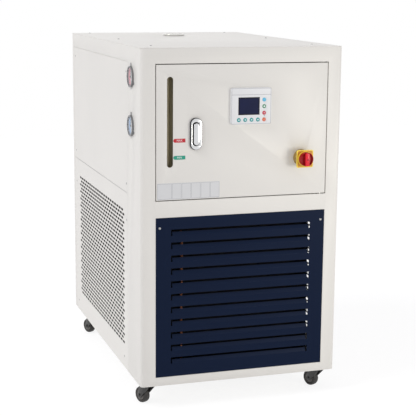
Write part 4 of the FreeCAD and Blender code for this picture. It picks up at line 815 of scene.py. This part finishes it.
# An amber film on the tray floor, which paints the shade in the tray.
tray_shade = bmesh.new()
reach = inner - 0.0004
slab(tray_shade, (-reach, -reach, TRAY_FLOOR), (reach, reach, TRAY_FLOOR + 0.00008))
piece("isolator_tray_shade", at_isolator(tray_shade, PLATE_BACK), "door", "yellow_plastic", tray_shade_amber)
marks = bmesh.new()
for words, x, z in (("0", 0, PLATE_HALF - MARK_INSET), ("1", PLATE_HALF - MARK_INSET, 0)):
    marks.from_mesh(print_on(words, MARK_SIZE, Matrix.Translation((x, z, 0.00275))))
piece("isolator_marks", at_isolator(marks, PLATE_BACK), "door", "yellow_plastic", black_border)

knob = lathe([(0, 0.0080), (0.0186, 0.0080), (0.0192, 0.0086), (0.0196, 0.0136),
              (0.0206, 0.0140), (0.0216, 0.0134), (KNOB_RADIUS, 0.0122), (KNOB_RADIUS, 0.0008),
              (0.0214, 0), (0.0040, 0), (0.0040, -0.0190), (0, -0.0190)], 72)
grip = bmesh.new()
slab(grip, (-GRIP_HALF, -GRIP_REACH, 0.0072), (GRIP_HALF, GRIP_REACH, 0.02194))
ease(grip, 0.0052, 3, chosen=lambda edge: standing(edge) and edge.verts[0].co.y > 0)
ease(grip, 0.0014, 3, sharp=40)
# The whole cup is a darker red than the grip, which paints the shade in its dish.
piece("isolator_cup", at_isolator(knob, KNOB_BACK), "isolator_knob", "red_plastic", dish_shade_red,
      "isolator_knob")
piece("isolator_grip", at_isolator(grip, KNOB_BACK), "isolator_knob", "red_plastic", red_plastic)
# A black square printed at the grip's middle, and a black patch on the cup's top rim that paints
# the shade of a notch.
mark_and_notch_shade = bmesh.new()
slab(mark_and_notch_shade, (-0.0018, -0.0018, 0.0219), (0.0018, 0.0018, 0.0220))
slab(mark_and_notch_shade, (-0.0014, 0.0192, 0.0134), (0.0014, 0.0212, 0.01415))
piece("grip_mark_and_notch_shade", at_isolator(mark_and_notch_shade, KNOB_BACK), "isolator_knob", "red_plastic",
      black_border)
eased("switch_block", "isolator_switch", 0.0012, black_plastic, "black_plastic")

# Side gauges. Two dial gauges in dark steel cases, each held by three lugs: a printed dial with
# a coloured half, a pointer on its pivot and a clear glass.
GAUGE_Y = -0.393
GAUGE_LEVELS = {"upper": 1.033, "lower": 0.883}
DIAL_X = -0.3260
LENS_X = -0.3295
DIAL_TURN = Matrix(((0, 0, -1, 0), (-1, 0, 0, 0), (0, 1, 0, 0), (0, 0, 0, 1)))
SWEEP = 270
TICKS = 36
NUMBERS = 6
DIAL_RADIUS = 0.0284
LONG_TICK = (0.0003, 0.0215)
SHORT_TICK = (0.00015, 0.0235)
TICK_END = 0.0262
NUMBER_RADIUS = 0.0172
NUMBER_SIZE = 0.0050

ring_steel = surface("ring_steel", (0.24, 0.24, 0.25), 0.26, 1.0, mottle=(40.0, 0.1))
dial_white = surface("dial_white", (0.80, 0.80, 0.80), 0.5, mottle=(50.0, 0.02))
dial_inks = {
    "upper": surface("pink_ink", (0.70, 0.22, 0.27), 0.5, mottle=(50.0, 0.05)),
    "lower": surface("blue_ink", (0.30, 0.48, 0.73), 0.5, mottle=(50.0, 0.05)),
}
dial_black = surface("dial_black", (0.012, 0.012, 0.014), 0.4, mottle=(90.0, 0.1))
gauge_glass = surface("gauge_glass", (0.92, 0.95, 0.95), 0.05, mottle=(20.0, 0.01), Alpha=0.14)
for side, gauge_z in GAUGE_LEVELS.items():
    eased(f"{side}_gauge_ring", f"{side}_gauge_case", 0.0008, ring_steel, "steel", segments=3,
          sharp=40)
    on_dial = Matrix.Translation((DIAL_X, GAUGE_Y, gauge_z)) @ DIAL_TURN

    disc = bar(DIAL_RADIUS, 0.0002, 64)
    bmesh.ops.transform(disc, matrix=on_dial @ Matrix.Translation((0, 0, 0.0001)),
                        verts=disc.verts)
    piece(f"{side}_dial", disc, "cabinet", "steel", dial_white)

    half = bmesh.new()
    corners = [(0, 0.0040, 0.00015), (0, 0.0270, 0.00015), (0, 0.0270, 0.00026),
               (0, 0.0040, 0.00026)]
    start = half.faces.new([half.verts.new(corner) for corner in corners])
    bmesh.ops.spin(half, geom=[*start.verts, *start.edges, start], cent=(0, 0, 0),
                   axis=(0, 0, 1), dvec=(0, 0, 0), angle=pi, steps=32, use_merge=False,
                   use_duplicate=False)
    bmesh.ops.recalc_face_normals(half, faces=half.faces)
    bmesh.ops.transform(half, matrix=on_dial, verts=half.verts)
    piece(f"{side}_dial_half", half, "cabinet", "steel", dial_inks[side])

    print_mesh = bmesh.new()
    for step in range(TICKS + 1):
        turned = Matrix.Rotation(radians(SWEEP / 2 - SWEEP * step / TICKS), 4, "Z")
        half_width, foot = SHORT_TICK if step % (TICKS // NUMBERS) else LONG_TICK
        line = bmesh.new()
        slab(line, (-half_width, foot, 0.0002), (half_width, TICK_END, 0.00036))
        print_mesh.from_mesh(kept(copies(kept(line), [on_dial @ turned])))
    for step in range(NUMBERS + 1):
        angle = radians(SWEEP / 2 - SWEEP * step / NUMBERS)
        spot = Matrix.Translation((-NUMBER_RADIUS * sin(angle), NUMBER_RADIUS * cos(angle),
                                   0.0003))
        print_mesh.from_mesh(print_on(str(step * 2), NUMBER_SIZE, on_dial @ spot))
    piece(f"{side}_dial_print", print_mesh, "cabinet", "steel", dial_black)

    bm = joined(f"{side}_pointer")
    piece(f"{side}_hand", bm, f"{side}_pointer", "black_plastic", dial_black,
          f"{side}_pointer")
    cap = lathe([(0, 0.0029), (0.0016, 0.0028), (0.0028, 0.0022), (0.0031, 0.0013),
                 (0.0031, 0.0012), (0, 0.0012)], 28)
    bmesh.ops.transform(cap, matrix=on_dial, verts=cap.verts)
    piece(f"{side}_hand_cap", cap, f"{side}_pointer", "black_plastic", dial_black)

    lens = lathe([(0, 0.0014), (0.0270, 0.0013), (0.0282, 0.0008), (0.0283, 0), (0, 0)], 64)
    at_lens = Matrix.Translation((LENS_X, GAUGE_Y, gauge_z)) @ DIAL_TURN
    bmesh.ops.transform(lens, matrix=at_lens, verts=lens.verts)
    piece(f"{side}_glass", lens, "cabinet", "glass", gauge_glass, f"{side}_gauge_lens")

# Filler. A steel neck from the tank through the cover, and a polished cap with a bevelled rim,
# a shallow dished top and a plug ring that seals in the neck.
FILLER_X = -0.007
FILLER_Y = 0.235
CAP_FOOT = 1.1278
polished_steel = surface("polished_steel", (0.66, 0.65, 0.62), 0.14, 1.0, mottle=(10.0, 0.06),
                         grain=(50.0, 0.04))
eased("filler_collar", "filler_neck", 0.0004, polished_steel, "steel")
bm = lathe([(0, 0.0044), (0.0290, 0.0044), (0.0300, 0.0050), (0.0366, 0.0050),
            (0.0376, 0.0044), (0.0380, 0.0036), (0.0380, 0.0005), (0.0375, 0), (0.0267, 0),
            (0.0267, -0.0115), (0.0262, -0.0120), (0.0240, -0.0120), (0.0237, -0.0115),
            (0.0237, 0), (0, 0)], 96)
bmesh.ops.translate(bm, vec=(FILLER_X, FILLER_Y, CAP_FOOT), verts=bm.verts)
piece("filler_lid", bm, "filler_cap", "chrome", polished_steel, "filler_cap")

# Casters. Four swivel casters: a pressed plate with its race on four bolts, a black fork, and a
# rubber wheel on a grey hub, trailing to the rear and turned a little.
SWING = radians(25)
TRAIL = 0.022
AXLE_HEIGHT = 0.026
NUT_REACH = 0.0157
BOLT_X = 0.022
BOLT_Y = 0.036
BOLT_HEIGHT = 0.072
CASTERS = {
    "front_left": (-0.290, -0.445), "front_right": (0.290, -0.445),
    "rear_left": (-0.290, 0.350), "rear_right": (0.290, 0.350),
}
black_enamel = surface("black_enamel", (0.020, 0.019, 0.018), 0.30, mottle=(40.0, 0.2),
                       grain=(80.0, 0.08), Coat_Weight=0.2)
tyre_rubber = surface("tyre_rubber", (0.021, 0.019, 0.017), 0.52, mottle=(45.0, 0.3),
                      grain=(120.0, 0.10))
hub_grey = surface("hub_grey", (0.13, 0.12, 0.11), 0.40, mottle=(60.0, 0.10))
eased("caster_tops", "caster_plates", 0.0006, black_enamel, "caster_steel", sharp=40)
bolt = bar(0.0055, 0.0030, 6)
ease(bolt, 0.0004, 1)
bolt = kept(bolt)
bolt_spots = [(x + side_x * BOLT_X, y + side_y * BOLT_Y, BOLT_HEIGHT)
              for x, y in CASTERS.values() for side_x in (-1, 1) for side_y in (-1, 1)]
piece("caster_bolts", copies(bolt, spots("up", *bolt_spots)), "cabinet", "steel", screw_steel)

tyre = kept(lathe([(0, 0.0080), (0.0165, 0.0080), (0.0178, 0.0092), (0.0200, 0.0105),
                   (0.0226, 0.0103), (0.0246, 0.0090), (0.0257, 0.0060), (0.0260, 0.0020),
                   (0.0260, -0.0020), (0.0257, -0.0060), (0.0246, -0.0090), (0.0226, -0.0103),
                   (0.0200, -0.0105), (0.0178, -0.0092), (0.0165, -0.0080), (0, -0.0080)], 72))
hub = kept(lathe([(0, 0.0104), (0.0062, 0.0104), (0.0070, 0.0098), (0.0074, 0.0086),
                  (0.0140, 0.0086), (0.0148, 0.0096), (0.0160, 0.0096), (0.0164, 0.0088),
                  (0.0164, -0.0088), (0.0160, -0.0096), (0.0148, -0.0096), (0.0140, -0.0086),
                  (0.0074, -0.0086), (0.0070, -0.0098), (0.0062, -0.0104), (0, -0.0104)], 48))
nut = bar(0.0050, 0.0030, 6)
ease(nut, 0.0004, 1)
nut = kept(nut)
for corner, (x, y) in CASTERS.items():
    eased(f"{corner}_yoke", f"{corner}_fork", 0.0008, black_enamel, "caster_steel", sharp=40)
    centre = (x - TRAIL * sin(SWING), y + TRAIL * cos(SWING), AXLE_HEIGHT)
    axle = Matrix.Translation(centre) @ Matrix.Rotation(SWING, 4, "Z")
    across = axle @ Matrix.Rotation(pi / 2, 4, "Y")
    piece(f"{corner}_tyre", copies(tyre, [across]), f"{corner}_wheel", "caster_rubber",
          tyre_rubber, f"{corner}_wheel")
    piece(f"{corner}_hub", copies(hub, [across]), f"{corner}_wheel", "caster_rubber", hub_grey)
    ends = [across @ Matrix.Translation((0, 0, end)) for end in (-NUT_REACH, NUT_REACH)]
    piece(f"{corner}_axle_nuts", copies(nut, ends), f"{corner}_fork", "caster_steel",
          black_enamel)

# Condenser. Near-black fins, which paint the shade the coil sits in, on rows of copper tube, with
# the return bends at its left end and the riser pipe that shows as a copper spot in the louvers'
# slits.
CORE_HALF = 0.250
CORE_FRONT = -0.440
CORE_REAR = -0.390
CORE_LOW = 0.078
CORE_HIGH = 0.568
FIN_PITCH = 0.005
FIN_SHEET = 0.0004
TUBE_ROWS = 16
TUBE_RADIUS = 0.0048
RISER_RADIUS = 0.0052
RISER_X = -0.180
RISER_Y = -0.4475
RISER_TURNS = [(CORE_FRONT, 0.112), (RISER_Y, 0.118), (RISER_Y, 0.300), (RISER_Y, 0.545),
               (CORE_FRONT, 0.552)]
RETURN_STUB = 0.004
RETURN_REACH = 0.0165


def pipe(points, radius):
    """A round pipe through points, with eased turns, as a mesh."""
    curve = bpy.data.curves.new("pipe", "CURVE")
    curve.dimensions = "3D"
    curve.bevel_depth = radius
    curve.bevel_resolution = 3
    curve.resolution_u = 6
    curve.use_fill_caps = True
    spline = curve.splines.new("BEZIER")
    spline.bezier_points.add(len(points) - 1)
    for knot, place in zip(spline.bezier_points, points):
        knot.co = place
        knot.handle_left_type = "AUTO"
        knot.handle_right_type = "AUTO"
    made = bpy.data.objects.new("pipe", curve)
    bpy.context.scene.collection.objects.link(made)
    graph = bpy.context.evaluated_depsgraph_get()
    mesh = bpy.data.meshes.new_from_object(made.evaluated_get(graph))
    bpy.data.objects.remove(made)
    bpy.data.curves.remove(curve)
    return mesh


# A near-black for the fins, which paints the shade inside the cabinet behind the louvers.
fin_shade_black = surface("fin_shade_black", (0.030, 0.030, 0.032), 0.55, mottle=(60.0, 0.15))
copper = surface("copper", (0.70, 0.28, 0.15), 0.28, 1.0, mottle=(40.0, 0.15))
fins = bmesh.new()
fin_count = int(2 * CORE_HALF / FIN_PITCH)
for index in range(fin_count + 1):
    x = -CORE_HALF + index * FIN_PITCH
    x = min(max(x, -CORE_HALF + FIN_SHEET), CORE_HALF - FIN_SHEET)
    slab(fins, (x - FIN_SHEET, CORE_FRONT, CORE_LOW), (x + FIN_SHEET, CORE_REAR, CORE_HIGH))
piece("condenser_fins", fins, "cabinet", "aluminium", fin_shade_black, "condenser")
tubes = bmesh.new()
row_pitch = (CORE_HIGH - CORE_LOW) / TUBE_ROWS
middle_y = (CORE_FRONT + CORE_REAR) / 2
for row in range(TUBE_ROWS):
    z = CORE_LOW + (row + 0.5) * row_pitch
    tubes.from_mesh(pipe([(-CORE_HALF, middle_y, z), (CORE_HALF, middle_y, z)], TUBE_RADIUS))
    if row % 2 == 0:
        stub_x = -CORE_HALF - RETURN_STUB
        turn_x = -CORE_HALF - RETURN_REACH
        tubes.from_mesh(pipe([(-CORE_HALF, middle_y, z), (stub_x, middle_y, z),
                              (turn_x, middle_y, z + row_pitch / 2),
                              (stub_x, middle_y, z + row_pitch),
                              (-CORE_HALF, middle_y, z + row_pitch)], TUBE_RADIUS))
tubes.from_mesh(pipe([(RISER_X, y, z) for y, z in RISER_TURNS], RISER_RADIUS))
piece("condenser_tubes", tubes, "cabinet", "aluminium", copper)

# Fan. A black shroud with its duct and the motor on struts, and the rotor's pressed blades, which
# draw the air in through the condenser.
shroud_enamel = surface("shroud_enamel", (0.022, 0.022, 0.023), 0.42, mottle=(20.0, 0.15))
eased("fan_shroud", "fan_frame", 0.0006, shroud_enamel, "black_paint", sharp=40)
eased("fan_blades", "fan_rotor", 0.0008, black_plastic, "black_plastic", sharp=40)

# Machinery. The compressor's welded black shell on its foot, the painted circulation pump and
# the brazed plate heat exchanger, all bolted to the tray.
SEAM_PLACE = (-0.150, 0.210, 0.205)
SEAM_RADIUS = 0.0862
PLATES = 18
PLATE_PITCH = 0.0050
PLATE_SHEET = 0.0018
PLATES_FRONT = 0.3375
PLATES_LOW = (0.1142, 0.080)
PLATES_HIGH = (0.2258, 0.396)
eased("compressor_shell", "compressor", 0.0015, shroud_enamel, "black_paint", sharp=28)
seam = lathe([(0, 0.003), (SEAM_RADIUS - 0.0006, 0.003), (SEAM_RADIUS, 0.0015),
              (SEAM_RADIUS - 0.0006, 0), (0, 0)], 96)
bmesh.ops.translate(seam, vec=SEAM_PLACE, verts=seam.verts)
piece("compressor_seam", seam, "cabinet", "black_paint", shroud_enamel)
pump_enamel = surface("pump_enamel", (0.018, 0.060, 0.145), 0.36, mottle=(25.0, 0.12))
eased("pump_case", "circulation_pump", 0.0015, pump_enamel, "pump_paint", sharp=40)
stainless = surface("stainless", (0.56, 0.57, 0.58), 0.30, 1.0, mottle=(3.0, 0.05),
                    grain=(60.0, 0.12), stretch=(1, 1, 40))
eased("exchanger_pack", "heat_exchanger", 0.0020, stainless, "tank_steel", sharp=40)
plates = bmesh.new()
for index in range(PLATES):
    y = PLATES_FRONT + index * PLATE_PITCH
    slab(plates, (PLATES_LOW[0], y, PLATES_LOW[1]),
         (PLATES_HIGH[0], y + PLATE_SHEET, PLATES_HIGH[1]))
piece("exchanger_plates", plates, "cabinet", "tank_steel", stainless)

# Upper bay. The brushed stainless expansion tank, and the electrical box with its folded lid,
# both standing on the shelf.
LID_SHEET = 0.0012
LID_INSET = 0.012
eased("tank_shell", "expansion_tank", 0.0020, stainless, "tank_steel", sharp=40)
low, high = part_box("electrical_box")
eased("electrical_case", "electrical_box", 0.0012, zinc, "galvanized")
lid = bmesh.new()
slab(lid, (low.x - LID_SHEET, low.y + LID_INSET, low.z + LID_INSET),
     (low.x, high.y - LID_INSET, high.z - LID_INSET))
ease(lid, 0.0004, 1)
piece("electrical_lid", lid, "cabinet", "galvanized", zinc)

# Door pins. Two bright shoulder pins at the door's right edge, one above the other, that it
# swings on.
eased("door_pins", "hinge_pins", 0.0004, polished_steel, "steel")

# Rear fittings. Two barbed brass hose stubs, the brass drain valve with its red lever and the
# black cable gland.
PORT_X = 0.060
PORT_Z = 0.866
BARBS = 5
BARB_PITCH = 0.0085
brass = surface("brass", (0.62, 0.43, 0.16), 0.26, 1.0, mottle=(30.0, 0.10))
stub = [(0.0080, -0.030), (0.0130, -0.030), (0.0130, 0.012)]
for barb in range(BARBS):
    foot = 0.014 + barb * BARB_PITCH
    stub += [(0.0130, foot), (0.0112, foot + 0.0070), (0.0130, foot + 0.0074)]
stub += [(0.0124, 0.058), (0.0080, 0.058)]
ports = bmesh.new()
for x in (-PORT_X, PORT_X):
    half = bmesh.new()
    rim = [half.verts.new((radius, 0, height)) for radius, height in stub]
    line = [half.edges.new(pair) for pair in zip(rim, rim[1:] + rim[:1])]
    bmesh.ops.spin(half, geom=rim + line, cent=(0, 0, 0), axis=(0, 0, 1), dvec=(0, 0, 0),
                   angle=2 * pi, steps=48, use_merge=True, use_duplicate=False)
    bmesh.ops.remove_doubles(half, verts=half.verts, dist=0.000001)
    bmesh.ops.recalc_face_normals(half, faces=half.faces)
    hexagon = bar(0.020, 0.008, 6)
    bmesh.ops.translate(hexagon, vec=(0, 0, 0.004), verts=hexagon.verts)
    hexagon = cut_out(hexagon, bar(0.0129, 0.02, 48))
    ease(hexagon, 0.0006, 2, sharp=50)
    half.from_mesh(kept(hexagon))
    place = spots("rear", (x, REAR, PORT_Z))
    ports.from_mesh(kept(copies(kept(half), place)))
piece("hose_stubs", ports, "cabinet", "brass", brass, "hose_ports")
eased("drain_body", "drain_valve", 0.0008, brass, "brass", sharp=40)
eased("drain_lever", "drain_handle", 0.0010, red_plastic, "red_plastic", sharp=40)
eased("gland_body", "cable_gland", 0.0008, black_plastic, "black_plastic", sharp=40)
